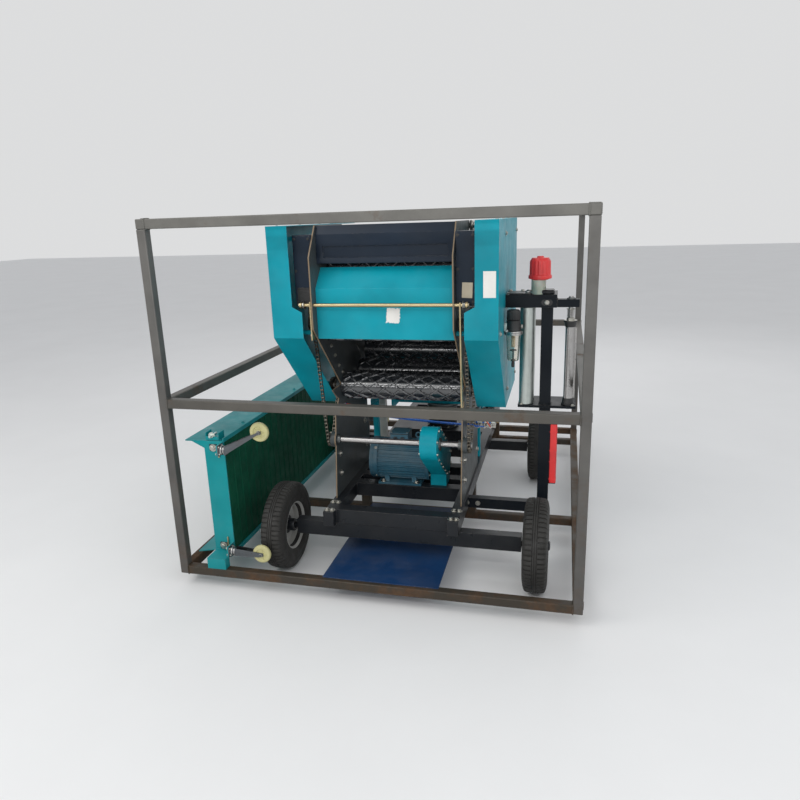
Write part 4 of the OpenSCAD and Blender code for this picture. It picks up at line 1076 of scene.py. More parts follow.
# %% [markdown]
# Two pale labels show on the machine, both blank here, and one of them is torn. A torn edge is the
# outline of a rectangle whose points are pulled towards the middle by a seeded random share.

# %% Blank labels
EDGE_POINTS = 14


def torn_sheet(lo, hi, seed, ragged, thick=0.0004):
    """A thin label with a torn outline: a point p of the rectangle goes to m + (p - m) * (1 - share)."""
    draw = np.random.default_rng(seed)
    corners = np.array([[lo[0], lo[2]], [hi[0], lo[2]], [hi[0], hi[2]], [lo[0], hi[2]]])
    s = np.linspace(0, 1, EDGE_POINTS, endpoint=False)[:, None]
    edge = np.concatenate([a + (b - a) * s for a, b in zip(corners, np.roll(corners, -1, 0))])
    centre = corners.mean(0)
    edge = centre + (edge - centre) * (1 - draw.uniform(0, ragged, (len(edge), 1)))
    return prism(edge, 1, lo[1], lo[1] - thick)


torn = torn_sheet(at(8, 264.6, 1188), at(72, 264.6, 1257), 3, 0.2)
parts = [turned(torn, BACK, 0.07, at(40, 264.6, 1222)),
         block(at(424, 211.4, 1301), at(474, 211.9, 1405), 0.0002)]
build("blank_labels", in_finish(parts, label), "root")

# %% [markdown]
# ## Guard fasteners
#
# Sheet guards are held by a few bolts on spacers. A washer under a head is a small thing, but it
# gives the eye the scale of the whole machine.

# %% Bolts on guards and plates
GUARD_X, GUARD_TOP_Z = 485, 1600
PLATE_IN_X, PLATE_OUT_X = 300, 306


def places(x, pairs):
    """Points at one distance from the machine's middle, for (y, z) pairs in mm."""
    return [at(x, y, z) for y, z in pairs]


feet = ((460, 420), (900, 420), (460, 520), (880, 560))
guard_holes = ((500, 1540), (280, 1145), (640, 825), (1100, 1540), (1100, 800), (860, 1180))
baffle_holes = ((464, 1007), (511, 948), (560, 905), (420, 1060))
parts = bolts(places(GUARD_X, guard_holes), RIGHT, 0.013, 0.006)
parts += bolts([at(470, y, GUARD_TOP_Z) for y in (300, 560, 820, 1080)], UP, 0.010, 0.0025, False)
parts += bolts(places(PLATE_IN_X, baffle_holes), -RIGHT, 0.011, 0.006)
parts += bolts(places(PLATE_IN_X, feet), -RIGHT, 0.017, 0.009)
parts += bolts(places(PLATE_OUT_X, feet), RIGHT, 0.017, 0.010)
parts.append(bolt(at(328, 665, 1575), RIGHT, 0.018, 0.010))
build("guard_bolts", in_finish(both_sides(parts), bolt_steel))
rail_spots = [at(s * 290 + t, y, 320) for s in (-1, 1) for t in (-12, 12) for y in (240, 330)]
build("rail_bolts", in_finish(bolts(rail_spots, UP, 0.016, 0.007), bolt_steel))

# %% [markdown]
# ## Gate and its cylinders
#
# The two cylinders that lift the gate are welded pipe with a screwed gland at the top, a port at
# each end and an eye at each end. They are built along the real axis of the cylinder, which the
# record gives as the direction in which the rod slides.

# %% Gate cylinders
EYE_LEN, ROD_R = 0.71544, 0.010
PORTS, PORT_FOOT = (0.052, 0.488), 0.021
BARREL = [[24, 1], [24, 19], [27, 22], [31, 24.5], [40, 24.5], [505, 24.5], [508, 25], [512, 25], [514, 24],
          [518, 25], [552, 25], [557, 23], [560, 20], [560, 12.2], [556, 11.8], [552, 11.5], [552, 10.4],
          [60, 10.4], [60, 1]]
BARREL_EYE = [[-11, 10.05], [-11, 19], [-10, 20], [10, 20], [11, 19], [11, 10.05]]
ROD_EYE = [[-9, 10.1], [-9, 19], [-8, 20], [8, 20], [9, 19], [9, 10.1]]
EYE_LUG = [[-0.013, 0.012], [0.013, 0.012], [0.018, 0.030], [-0.018, 0.030]]


def cylinder_barrel(name, base, u):
    """Barrel: a lathe profile with its weld bead, gland collar and wiper, two ports and its eye."""
    across = np.cross(RIGHT, u)
    lug, lug_faces = prism(EYE_LUG, 0, -0.011, 0.011)
    lug = base + lug[:, :1] * RIGHT + lug[:, 1:2] * across + lug[:, 2:] * u
    groups = in_finish([lathe_mm(BARREL, base, u, 44), lathe_mm(BARREL_EYE, base, RIGHT, 40),
                        (lug, lug_faces)], black)
    for h in PORTS:
        foot = base + u * h + across * PORT_FOOT
        groups += [(rod(foot, foot + across * 0.014, 0.010, 20), black),
                   (bolt(foot + across * 0.014, across, 0.017, 0.010, False), bolt_steel),
                   (rod(foot + across * 0.022, foot + across * 0.030, 0.0055, 16), bright)]
    return dress(f"barrel_{name}_dressed", groups, "gate_barrel_" + name, 32.0, True)


def cylinder_rod(name, base, u):
    """Rod: a chromed bar with a threaded end, its locknut and an eye round the pin's place."""
    tip = base + u * EYE_LEN
    groups = [(rod(base + u * 0.080, tip - u * 0.045, ROD_R, 32), chrome),
              (thread(tip - u * 0.045, tip - u * 0.020, ROD_R - 0.0002), chrome),
              (bolt(tip - u * 0.043, u, 0.020, 0.010, False), bolt_steel),
              (lathe_mm(ROD_EYE, tip, RIGHT, 40), chain_steel),
              (rod(tip - u * 0.026, tip - u * 0.016, 0.0145, 28), chain_steel)]
    return dress(f"rod_{name}_dressed", groups, "gate_rod_" + name, 32.0, True)


chrome = metal("chrome_rod", (0.66, 0.67, 0.68), 0.12, stain=0.05, strength=0.02)
for name in ("left", "right"):
    base, slides = pivot["barrel_" + name], slide_axis["rod_" + name]
    cylinder_barrel(name, base, slides)
    cylinder_rod(name, base, slides)

# %% [markdown]
# The gate's plates are bolted to tie tubes on the arc of its rollers, and it hangs on a flanged bush
# at each side. These heads ride on the gate's body, so they swing with it.

# %% Gate fasteners
GATE_ARC, GATE_ARC_R = np.array([685, 1150]), 385
TIE_ANGLES = np.radians([-26, 22, 70])
BUSH = [[0, 12.3], [0, 21], [1, 22], [4, 22], [5, 21], [5, 12.3]]

ties = GATE_ARC + GATE_ARC_R * np.stack([np.cos(TIE_ANGLES), np.sin(TIE_ANGLES)], -1)
hinge = pivot["gate"] * [0, 1, 1] + RIGHT * (MX + 0.319)
parts = bolts(places(PLATE_OUT_X, ties), RIGHT, 0.019, 0.010)
parts += [lathe_mm(BUSH, hinge, RIGHT, 36), bolt(at(356.5, 895, 1315), -RIGHT, 0.024, 0.001, False)]
build("gate_bolts", in_finish(both_sides(parts), bolt_steel), "gate")

# %% [markdown]
# ## The film stretcher
#
# The mast, its arm and its base plate are welded plate, so their solid is kept. The jar, its cap and
# the sleeved bar are other things in the same solid. We leave the faces of the jar and cap out of the
# bevelled copy and build them finer: the cap as a surface whose radius has flutes, since a lathe
# alone can't make flutes, and the jar as a thin shell of cloudy plastic with oil in it.

# %% Cap, jar and sleeve
ARM_TOP, ARM_UNDER, PLATE_TOP, PLATE_UNDER = 1278, 1222, 782, 770
SLEEVE_RIBS = (420, 505, 560, 650)
JAR = [[0.2, 2], [0.2, 33], [4, 34], [7, 33.5], [8, 31.5], [30, 31.5], [31, 32], [33, 32], [34, 31.5],
       [62, 31.5], [65.5, 29], [65.5, 2]]
OIL = [[2, 2], [2, 29.5], [41, 29.5], [41, 2]]
CAP = np.array([[0, 2, 0], [0, 47, 0], [1, 49, 0], [3, 50, 0], [13, 50, 0], [15, 49, 0], [16.5, 46.5, 0.2],
                [18, 46, 1], [72, 45, 1], [76, 44, 0.6], [79, 42.5, 0.2], [85, 38, 0], [88, 36.5, 0],
                [89, 35, 0], [89.5, 18, 0], [90, 15, 0], [94.5, 14, 0], [96, 12.5, 0], [96, 2, 0]])
CAP_SKIRT = [[-4, 31.8], [-4, 36], [-3, 37], [-0.5, 37], [0, 36], [0, 31.8]]
FILM = middle("stretch_roller_1") * np.array([1, 1, 0]) + np.array([0.080, 0, 0])


def by_mast(x, y, z):
    """A point by the mast in mm: x from its middle, y from the front stretch roller, z over the floor."""
    return FILM + np.array([x, y, z]) * MM


def fluted(profile, centre, axis, count, depth, n=160):
    """A profile of (height, radius, flute) turned about an axis, with count flutes round it.

    The radius at angle t is r - depth * flute * |cos(count * t / 2)|^6, so flutes have a narrow
    root and a wide back.
    """
    a, u, v = frame_for(axis)
    profile = np.asarray(profile, float)
    t = np.linspace(0, 2 * np.pi, n, endpoint=False)
    cut = np.abs(np.cos(count * t / 2)) ** 6 * depth
    radius = profile[None, :, 1] - profile[None, :, 2] * cut[:, None]
    ring = np.cos(t)[:, None] * u + np.sin(t)[:, None] * v
    points = np.asarray(centre) + profile[None, :, :1] * a + radius[:, :, None] * ring[:, None]
    return points.reshape(-1, 3), grid_faces(n, len(profile), True, False).tolist()


def over_the_arm(middles):
    """True for the faces of the mast's solid that belong to the jar and the cap."""
    return middles[:, 2] > (ARM_TOP + 0.5) * MM


softened("film_mast", mast_black, 0.003, drop=over_the_arm)

cloudy, tree, shader = new_material("cloudy_plastic")
oil_shade = ramp(tree, noise(tree, 12.0), 0.3, 0.7)
tree.links.new(blend_colour(tree, oil_shade, (0.56, 0.58, 0.49), (0.68, 0.70, 0.61)),
               shader.inputs["Base Color"])
shader.inputs["Roughness"].default_value = 0.32
shader.inputs["Transmission Weight"].default_value = 0.45
shader.inputs["Subsurface Weight"].default_value = 0.2
bump(tree, shader, noise(tree, 40.0), 0.05, 0.001)

jar_c, cap_c = by_mast(-35, 0, ARM_TOP), by_mast(-30, 0, 1344)
red_parts = [fluted(CAP * [MM, MM, 1], cap_c, UP, 14, 0.0026), lathe_mm(CAP_SKIRT, cap_c, UP, 56),
             block(by_mast(30.3, -22, 400.5), by_mast(64, 14, 692), 0.005)]
red_parts += [block(by_mast(30.6, -22.6, z), by_mast(64.6, 14.6, z + 6), 0.0015) for z in SLEEVE_RIBS]
groups = [(lathe_mm(JAR, jar_c, UP, 56, False), cloudy), (lathe_mm(OIL, jar_c, UP, 40, False), zinc)]
dress("jar_cap_and_sleeve", groups + in_finish(red_parts, red), "film_mast", 32.0)

# %% [markdown]
# A round fluted cap reads as moulded only with its parting details. On the arm, the clamp bolt
# sits on a washer in a pressed slot, the shafts come up through small flanged housings, and a
# cover hides the gears over the mast. Weld beads run where plate meets tube.

# %% Arm, housings and welds
SLOT_DEPTH = 0.0012
SHAFT_ENDS = ((-80, 0, ARM_TOP, 18), (-80, 85, ARM_TOP, 18), (105, 0, 1256, 19))
ARM_BOLTS = ((-165, -20), (-165, 115), (-110, 115), (20, 115))
PLATE_BOLTS = ((-100, 118), (125, 118), (125, -24), (-100, -24))
BEADS = (((-20.5, -20, ARM_UNDER), (-20.5, 20, ARM_UNDER)), ((-20, -20.5, ARM_UNDER), (30, -20.5, ARM_UNDER)),
         ((-20, -20.5, PLATE_TOP), (30, -20.5, PLATE_TOP)), ((-20.5, -20, PLATE_TOP), (-20.5, 20, PLATE_TOP)),
         ((30.5, -20, PLATE_TOP), (30.5, 20, PLATE_TOP)),
         ((-20, -20.5, PLATE_UNDER), (30, -20.5, PLATE_UNDER)),
         ((45.5, -20, ARM_UNDER), (45.5, -20, 1256)), ((45.5, -20.5, 1256), (45.5, 20, 1256)),
         ((-20.5, -20, 300), (-20.5, 20, 300)), ((-20, -20.5, 300), (20, -20.5, 300)),
         ((30.5, -18, 728), (30.5, 10, 728)))


def stadium(centre, half, radius, thick, n=14):
    """A plate across Y with round ends: two half circles whose middles are twice the half length apart."""
    t = np.linspace(-np.pi / 2, np.pi / 2, n)
    end = np.stack([half + radius * np.cos(t), radius * np.sin(t)], -1)
    return prism(np.concatenate([end, -end]) + centre[[0, 2]], 1, centre[1], centre[1] + thick)


def housing(centre, axis, r):
    """A flanged bearing housing of radius r in mm round a shaft, with three screws."""
    flange = [[0, 8.4], [0, r], [3, r], [3.6, r - 0.6], [3.8, 12.5], [7, 12], [7.5, 11], [7.5, 8.4]]
    feet = centre + axis * 0.003 + 0.0145 * directions(axis, (0.4, 2.5, 4.6))
    screws = [rod(foot, foot + axis * 0.0022, 0.0021, 10) for foot in feet]
    return join([lathe_mm(flange, centre, axis, 32)] + screws)


front = by_mast(3, -35, 1244)
groups = [(stadium(front - BACK * SLOT_DEPTH, 0.011, 0.013, SLOT_DEPTH), black_plastic),
          (rod(front - BACK * SLOT_DEPTH, front - BACK * 0.0032, 0.0105, 28), bolt_steel),
          (bolt(front - BACK * 0.003, -BACK, 0.0165, 0.009, False), bolt_steel),
          (block(by_mast(-22, -31, ARM_TOP), by_mast(34, 46, 1297), 0.006), black),
          (block(by_mast(-170, -30, ARM_TOP), by_mast(-60, -26, 1284), 0.002), black)]
for x, y, top, radius in SHAFT_ENDS:
    groups.append((housing(by_mast(x, y, top), UP, radius), cast))
    groups.append((housing(by_mast(x, y, PLATE_UNDER), -UP, radius), cast))
heads = bolts([by_mast(x, y, ARM_TOP) for x, y in ARM_BOLTS], UP, 0.012, 0.006)
heads += bolts([by_mast(x, y, PLATE_TOP) for x, y in PLATE_BOLTS], UP, 0.012, 0.006)
heads += bolts([by_mast(x, -20, 275) for x in (-351, -299)], -BACK, 0.013, 0.007)
groups += in_finish([weld(by_mast(*a), by_mast(*b)) for a, b in BEADS], black) + in_finish(heads, bolt_steel)
dress("stretcher_details", groups, "film_mast")

# %% [markdown]
# The stretch rollers are turned aluminium tubes with pressed end plugs. The spindle carries the
# film's cardboard core between a fixed cone below and a loose cone on top, and three ribs keep the
# core from slipping.

# %% Stretch rollers and spindle
ROLLER_FROM, ROLLER_TO, ROLLER_R = 782.6, 1221.4, 32
LOW_CONE = [[782.6, 10], [782.6, 29], [783.4, 30], [789, 30], [790, 29], [791, 27], [812, 22.5], [814, 20]]
TOP_CONE = [[1134, 20], [1136, 23], [1156, 27.5], [1157, 29.5], [1161, 29.5], [1162, 28.5], [1162, 10]]
SPRING_TURNS, SPRING_FROM, SPRING_HEIGHT, SPRING_R = 7, 1.178, 0.032, 0.0155

roller_skin = metal("brushed_roller", (0.52, 0.56, 0.53), 0.42, grain=(1, 1, 0.04), scale=260.0, stain=0.35,
                    stain_colour=(0.24, 0.28, 0.26), strength=0.05)


def upright(c, z0, z1, radius, n=24):
    """A round bar along Z between two heights in mm."""
    return rod(c + UP * z0 * MM, c + UP * z1 * MM, radius, n)


def stretch_roller(name):
    """A tube with chamfered rims, end plugs set 3 mm in, and a shaft with its circlips."""
    z0, z1, r = ROLLER_FROM, ROLLER_TO, ROLLER_R
    c = middle(name) * [1, 1, 0]
    low, high = (corner[2] / MM for corner in span(name))
    body = [[z0 + 3, 7.9], [z0 + 3, r - 5], [z0, r - 3.5], [z0, r - 1.5], [z0 + 1.5, r],
            [z1 - 1.5, r], [z1, r - 1.5], [z1, r - 3.5], [z1 - 3, r - 5], [z1 - 3, 7.9]]
    rings = [upright(c, z0 + 4, z0 + 5.2, 0.0105), upright(c, z1 - 5.5, z1 - 4.3, 0.0105),
             upright(c, high - 3.2, high - 2, 0.0098)]
    groups = [(lathe_mm(body, c, UP, 72, False), roller_skin), (upright(c, low, high, 0.008, 28), bright)]
    return dress(name + "_dressed", groups + in_finish(rings, chain_steel), name, 32.0, True)


def spindle(name):
    """Core tube with three ribs, a lower flange with its cone, a loose upper cone, a nut and a spring."""
    c = middle(name) * [1, 1, 0]
    low, high = (corner[2] / MM for corner in span(name))
    cones = [lathe_mm(profile, c, UP, 56, False) for profile in (LOW_CONE, TOP_CONE)]
    steel = [lathe_mm([[812, 20.5], [1136, 20.5]], c, UP, 56, False), upright(c, low, high, 0.010, 28)]
    fin = block((0.0195, -0.002, 0.815), (0.0285, 0.002, 1.132), 0.0008)
    steel += [moved(turned(fin, UP, t), c) for t in np.arange(3) * 2 * np.pi / 3]
    t = np.linspace(0, 2 * np.pi * SPRING_TURNS, 240)
    climb = SPRING_FROM + SPRING_HEIGHT * t / t[-1]
    steel.append(tube(c + np.stack([SPRING_R * np.cos(t), SPRING_R * np.sin(t), climb], -1), 0.0013, 8))
    nuts = [bolt(c + UP * 1.1625, UP, 0.030, 0.012), upright(c, 1211.5, 1214.5, 0.019, 32)]
    groups = in_finish(cones, black_plastic) + in_finish(steel, bright) + in_finish(nuts, bolt_steel)
    return dress(name + "_dressed", groups, name, 32.0, True)


for name in ("stretch_roller_1", "stretch_roller_2"):
    stretch_roller(name)
spindle("film_spindle")

# %% [markdown]
# ## Air: filter, valves and their tubes
#
# The filter hangs outside the right guard. Its bowl is a clear shell a few millimetres thick, so it
# needs an inner and an outer wall for light to bend in it, and something inside to be seen: the
# filter element on its rod and a little water. The head is moulded, with a fluted knob on top.

# %% Air filter
BOWL = [[-132, 8], [-131, 22], [-127, 25], [-60, 29], [-14, 31.5], [-14, 28.5], [-60, 26], [-125, 22],
        [-128, 20], [-129, 8]]
COLLAR = [[-16, 36], [-16, 38], [-14, 38.4], [-12, 37.6], [-8, 37.6], [-6, 38.4], [-2, 38.4], [0, 37.5],
          [0, 30]]
HEAD = [[0, 30], [2, 33], [6, 33], [10, 30.5], [46, 30], [48, 27], [49, 20]]
KNOB = np.array([[49, 20, 0], [50, 29, 0.4], [52, 30, 1], [84, 28.5, 1], [88, 27, 0.6], [91, 22, 0],
                 [91.5, 2, 0]])
ELEMENT = [[-72, 1], [-72, 7], [-70, 8.5], [-18, 8.5], [-16, 7], [-16, 1]]
DRAIN = [[-162, 2], [-162, 5], [-160, 7], [-142, 7], [-140, 6], [-135, 6], [-134, 11], [-130, 11], [-130, 2]]
FILTER = np.array([0.575, FRONT + 0.465, 1.129])
GAUGE = np.array([-26, -10, 4]) * MM

clear, tree, shader = new_material("clear_bowl")
haze = ramp(tree, noise(tree, 20.0), 0.3, 0.7)
tree.links.new(blend_colour(tree, haze, (0.86, 0.83, 0.76), (0.94, 0.92, 0.88)), shader.inputs["Base Color"])
tree.links.new(ramp(tree, noise(tree, 30.0, 6.0), 0.4, 0.7, 0.02, 0.10), shader.inputs["Roughness"])
shader.inputs["Transmission Weight"].default_value = 1.0
shader.inputs["IOR"].default_value = 1.16
bump(tree, shader, noise(tree, 60.0), 0.03, 0.001)

groups = [(lathe_mm(BOWL, FILTER, UP, 64), clear), (lathe_mm(COLLAR, FILTER, UP, 64, False), bright),
          (lathe_mm(HEAD, FILTER, UP, 48, False), black_plastic),
          (fluted(KNOB * [MM, MM, 1], FILTER, UP, 26, 0.0014, 156), black_plastic),
          (lathe_mm(ELEMENT, FILTER, UP, 36, False), label_beige),
          (ring_bar(FILTER - UP * 0.086, UP, 0.014, 0.0018), black_plastic),
          (upright(FILTER, -128, -84, 0.0025, 14), black_plastic),
          (lathe_mm(DRAIN, FILTER, UP, 28, False), black_plastic)]
for spot in FILTER + 0.0378 * directions(UP, np.arange(8) * np.pi / 4):
    groups.append((upright(spot, -13.5, -2, 0.0014, 8), bright))
for out in (-RIGHT, RIGHT):
    port = FILTER + out * 0.028 + UP * 0.018
    groups += [(rod(port, port + out * 0.006, 0.0105, 24), black_plastic),
               (bolt(port + out * 0.006, out, 0.016, 0.006, False), bolt_steel)]
gauge = FILTER + GAUGE
groups += [(rod(gauge, gauge - BACK * 0.018, 0.0032, 14), bright),
           (rod(gauge - BACK * 0.018, gauge - BACK * 0.025, 0.006, 20), bright),
           (block((0.535, FRONT + 0.453, 1.1265), (0.560, FRONT + 0.477, 1.1635), 0.002), aluminium)]
dress("air_filter", groups, "air_fittings", 32.0, True)

# %% [markdown]
# The valve block feeds the cylinders and the binder. Each valve is a light metal body under a black
# coil with a moulded cap, and every port has a push-in fitting whose collar holds a blue tube. A
# fitting without a tube carries a sintered bronze silencer.

# %% Valve block
VALVE_PITCH, VALVE_FIRST = 32, 336
SILENCER = [[3, 1], [3, 5.5], [14, 5.5], [16, 4], [16, 1]]
GROMMET = [[0, 5.6], [0, 11], [1.5, 12], [4, 12], [5.5, 11], [5.5, 5.6]]


def push_in(centre, axis, radius, length):
    """A push-in fitting: a hexagon, a nickel neck and a blue release collar."""
    c, collar = np.asarray(centre, float), length - 0.003
    return [(bolt(c, axis, radius * 2.1, 0.004, False), bright),
            (rod(c + axis * 0.004, c + axis * collar, radius * 0.92, 18), bright),
            (rod(c + axis * collar, c + axis * length, radius * 0.8, 18), blue_tube)]


def valve(x):
    """One valve from x in mm: a metal body, its coil and cap, two screws, and two ports in front."""
    groups = [(block(at(x + 1, 596, 700.3), at(x + 25, 624, 716), 0.0015), aluminium),
              (block(at(x + 2, 597, 716.3), at(x + 24, 623, 731), 0.003), black_plastic),
              (block(at(x + 7, 603, 731), at(x + 19, 617, 734.6), 0.002), black_plastic)]
    for dx in (4, 22):
        groups.append((rod(at(x + dx, 599, 715.5), at(x + dx, 599, 717.5), 0.0017, 10), bolt_steel))
    for z in (668, 690):
        groups += push_in(at(x + 13, 595.3, z), -BACK, 0.0055, 0.012)
    return groups


bronze = metal("sintered_bronze", (0.50, 0.36, 0.20), 0.6, scale=420.0, stain=0.3, strength=0.5)
groups = [(block(at(326, 595, 660), at(436, 625, 700), 0.0025), aluminium),
          (block(at(306.5, 625.2, 630), at(435.5, 629, 700), 0.0006), bolt_steel)]
for k in range(3):
    groups += valve(VALVE_FIRST + VALVE_PITCH * k)
for z in (666, 694):
    groups.append((rod(at(436, 610, z), at(439, 610, z), 0.006, 18), bright))
    groups.append((lathe_mm(SILENCER, at(436, 610, z), RIGHT, 20, False), bronze))
block_holes = [at(x, 625.2, z) for x, z in ((316, 640), (316, 690), (330, 640), (425, 640))]
groups += in_finish(bolts(block_holes, -BACK, 0.009, 0.004), bolt_steel)
dress("valve_block", groups, "air_fittings")

groups = push_in(at(326.2, 610, 680), RIGHT, 0.0068, 0.013)
groups += push_in(at(-330.2, 610, 680), -RIGHT, 0.0068, 0.013)
for side in (-1, 1):
    groups.append((lathe_mm(GROMMET, at(side * 306.2, 610, 680), RIGHT * side, 28), black_plastic))
dress("pipe_fittings", groups, "air_pipes")

# %% [markdown]
# Three thin tubes cross the machine to elbows under the manifold. Each is stiff nylon, held by a
# fitting at both ends, so its shape is a long shallow sag that ends in a quarter turn. The turn's
# radius is four times the tube's diameter, which is as tight as such a tube bends without a kink.

# %% Air tubes across the machine
TUBE_FROM, TUBE_SAG, ELBOW_Y, ELBOW_Z = -300, 9, 610, 646
TUBES = ((354, 558, 718, 664, 4, blue_tube), (384, 567, 706, 655, 3, blue_tube),
         (414, 567, 742, 682, 3, red_tube))


def air_tube(x_end, y, z_left, z_right, radius):
    """A tube's path: z = line - 4 * sag * t * (1 - t) from plate to plate, then a quarter circle back."""
    turn = 8 * radius
    t = np.linspace(0, 1, 24)
    z = z_left + t * (z_right - z_left) - 4 * TUBE_SAG * t * (1 - t)
    run = np.stack([TUBE_FROM + t * (x_end - turn - TUBE_FROM), np.full(24, float(y)), z], -1)
    a = np.linspace(0, np.pi / 2, 10)[1:]
    rise = z_right + (ELBOW_Z - z_right) * np.sin(a) ** 2
    bend = np.stack([x_end - turn + turn * np.sin(a), y + turn * (1 - np.cos(a)), rise], -1)
    return np.array([at(*point) for point in np.concatenate([run, bend])])


groups = []
for x_end, y, z_left, z_right, radius, material in TUBES:
    path = air_tube(x_end, y, z_left, z_right, radius)
    elbow = path[-1] * [1, 0, 1] + BACK * (FRONT + ELBOW_Y * MM)
    groups += push_in(path[0] - RIGHT * 0.006, RIGHT, 0.0068, 0.014)
    groups += [(tube(path, radius * MM, 12), material),
               (rod(path[-1] - BACK * 0.004, elbow, 0.0085, 20), bright),
               (rod(elbow - UP * 0.009, elbow + UP * 0.014, 0.0085, 20), bright),
               (bolt(elbow + UP * 0.007, UP, 0.019, 0.006, False), bright)]
    print("tube length in m:", round(np.linalg.norm(np.diff(path, axis=0), axis=1).sum(), 3))
dress("air_tubes", groups, "air_pipes")

# %% [markdown]
# ## Motor
#
# An electric motor is known by its fan cowl, a pressed dish with a grille in its end. The grille is
# concentric rings on spokes over a black disc, which is painted shade for the hollow behind it, so
# light falls in between. The fins are in the solid. The junction box gets a gasket line, screws and a
# cable gland that is plugged.

# %% Fan cowl and junction box
MOTOR = np.array([MX, FRONT + 0.670, 0.435])
COWL = [[2, 74], [0.5, 80], [0, 84], [0.8, 90], [3.5, 97], [8, 102], [14, 104.8], [40, 104.8], [41, 104.2],
        [41, 102]]
CENTRE_DISC = [[1, 0.2], [1, 11], [2, 12], [4, 12]]
GLAND_Z, EYE_BOLT = 548, (45, 670)

back = MOTOR - RIGHT * 0.1905
grid = back + RIGHT * 0.0022
rings = [ring_bar(back + RIGHT * 0.0018, RIGHT, r * MM, 0.0015) for r in np.arange(12, 78, 7.5)]
spokes = [rod(grid + d * 0.010, grid + d * 0.078, 0.0018, 10)
          for d in directions(RIGHT, np.arange(6) * np.pi / 3 + 0.2)]
cowl_parts = [lathe_mm(COWL, back, RIGHT, 72, False), *rings, *spokes,
              lathe_mm(CENTRE_DISC, back - RIGHT * 0.0005, RIGHT, 32, False)]
# a black disc behind the grille: painted shade for the hollow inside the cowl
cowl_shade_disc = lathe_mm([[5, 0.5], [5, 78]], back, RIGHT, 40, False)
groups = in_finish(cowl_parts, motor_grey) + [(cowl_shade_disc, black_plastic)]
for d in directions(RIGHT, np.arange(4) * np.pi / 2 + np.pi / 4):
    groups.append((bolt(back + RIGHT * 0.030 + d * 0.1045, d, 0.008, 0.003), bolt_steel))
    groups.append((bolt(MOTOR + RIGHT * 0.1105 + d * 0.088, RIGHT, 0.010, 0.004, False), bolt_steel))
    boss = MOTOR + RIGHT * 0.096 + d * 0.1
    groups.append((rod(boss, boss + RIGHT * 0.014, 0.0075, 18), motor_grey))
groups += [(block(at(-92, 623, 573), at(2, 717, 577), 0.001), black_plastic),
           (block(at(-92, 623, 577), at(2, 717, 581.5), 0.003), motor_grey),
           (bolt(at(-64, 625, GLAND_Z), -BACK, 0.024, 0.008, False), black_plastic),
           (rod(at(-64, 617, GLAND_Z), at(-64, 608, GLAND_Z), 0.0105, 28), black_plastic),
           (bolt(at(-28, 625, GLAND_Z), -BACK, 0.024, 0.006, False), black_plastic),
           (rod(at(*EYE_BOLT, 538), at(*EYE_BOLT, 548), 0.010, 24), motor_grey),
           (ring_bar(at(*EYE_BOLT, 562), BACK, 0.0125, 0.0042, 40), motor_grey),
           (block(at(20, 762.5, 428), at(70, 764, 452), 0.0004), aluminium)]
lid_screws = [at(x, y, 581.5) for x in (-84, -6) for y in (631, 709)]
foot_bolts = [at(x, y, 332) for x in (-125, 45) for y in (600, 740)]
groups += in_finish(bolts(lid_screws, UP, 0.008, 0.003, False) + bolts(foot_bolts, UP, 0.018, 0.010),
                    bolt_steel)
dress("motor_details", groups, "drive_motor", 32.0)

# %% [markdown]
# The belt case closes with a flange all round its face, so its cover plate gets a rim of screws.
# They are set at equal steps along the outline of two circles and their tangents.

# %% Screws round the belt case
def racetrack(c0, c1, r, step):
    """Points at equal steps along the outline round two equal circles, as (y, z) pairs."""
    c0, c1 = np.asarray(c0, float), np.asarray(c1, float)
    along = (c1 - c0) / np.linalg.norm(c1 - c0)
    start = math.atan2(along[1], along[0])
    t = np.linspace(-np.pi / 2, np.pi / 2, 30)
    arc = np.stack([np.cos(t + start), np.sin(t + start)], -1)
    path = np.concatenate([c1 + r * arc, c0 - r * arc])
    path = np.concatenate([path, path[:1]])
    length = np.concatenate([[0], np.cumsum(np.linalg.norm(np.diff(path, axis=0), axis=1))])
    s = np.arange(0, length[-1] - step / 2, step)
    return np.stack([np.interp(s, length, path[:, 0]), np.interp(s, length, path[:, 1])], -1)


CASE_IN, CASE_OUT, SCREW_CIRCLE, SCREW_STEP = 0.115, 0.195, 0.070, 0.062
CASE_BUSH = [[0, 15.5], [0, 30], [1, 31], [7, 30], [8, 28], [8, 15.5]]
screws = []
for y, z in racetrack(MOTOR[1:], drive_axis[1:], SCREW_CIRCLE, SCREW_STEP):
    screws.append(bolt(np.array([MX + CASE_IN, y, z]), -RIGHT, 0.009, 0.004))
    screws.append(bolt(np.array([MX + CASE_OUT, y, z]), RIGHT, 0.009, 0.004))
bush = lathe_mm(CASE_BUSH, np.array([MX + CASE_OUT, *drive_axis[1:]]), RIGHT, 36)
dress("case_screws", in_finish(screws, bolt_steel) + [(bush, cast)], "drive_case")

# %% [markdown]
# ## Wrapping table, ramp and cabinet
#
# The turntable rides on a large slewing bearing bolted to the chassis. Its two rollers get rubber
# sleeves with cross grooves, since they turn the bale by friction. The ramp and the table's
# cheeks are welded sheet, so their seams get beads.

# %% Table base and turntable
RACE_RING = [[0, 89], [0, 96], [1.5, 98], [9, 98], [10, 96.5], [10, 92], [13, 92], [13, 97], [14.5, 98.5],
             [24, 98.5], [25.5, 97], [25.5, 89]]
CHEEK_X, BEAM_TOP = 273.5, 520.5


def by_table(x, y, z):
    """A point from the turntable's axis in mm: x and y from it, z over the floor."""
    return np.array([MX, FRONT + 1.600, 0]) + np.array([x, y, z]) * MM


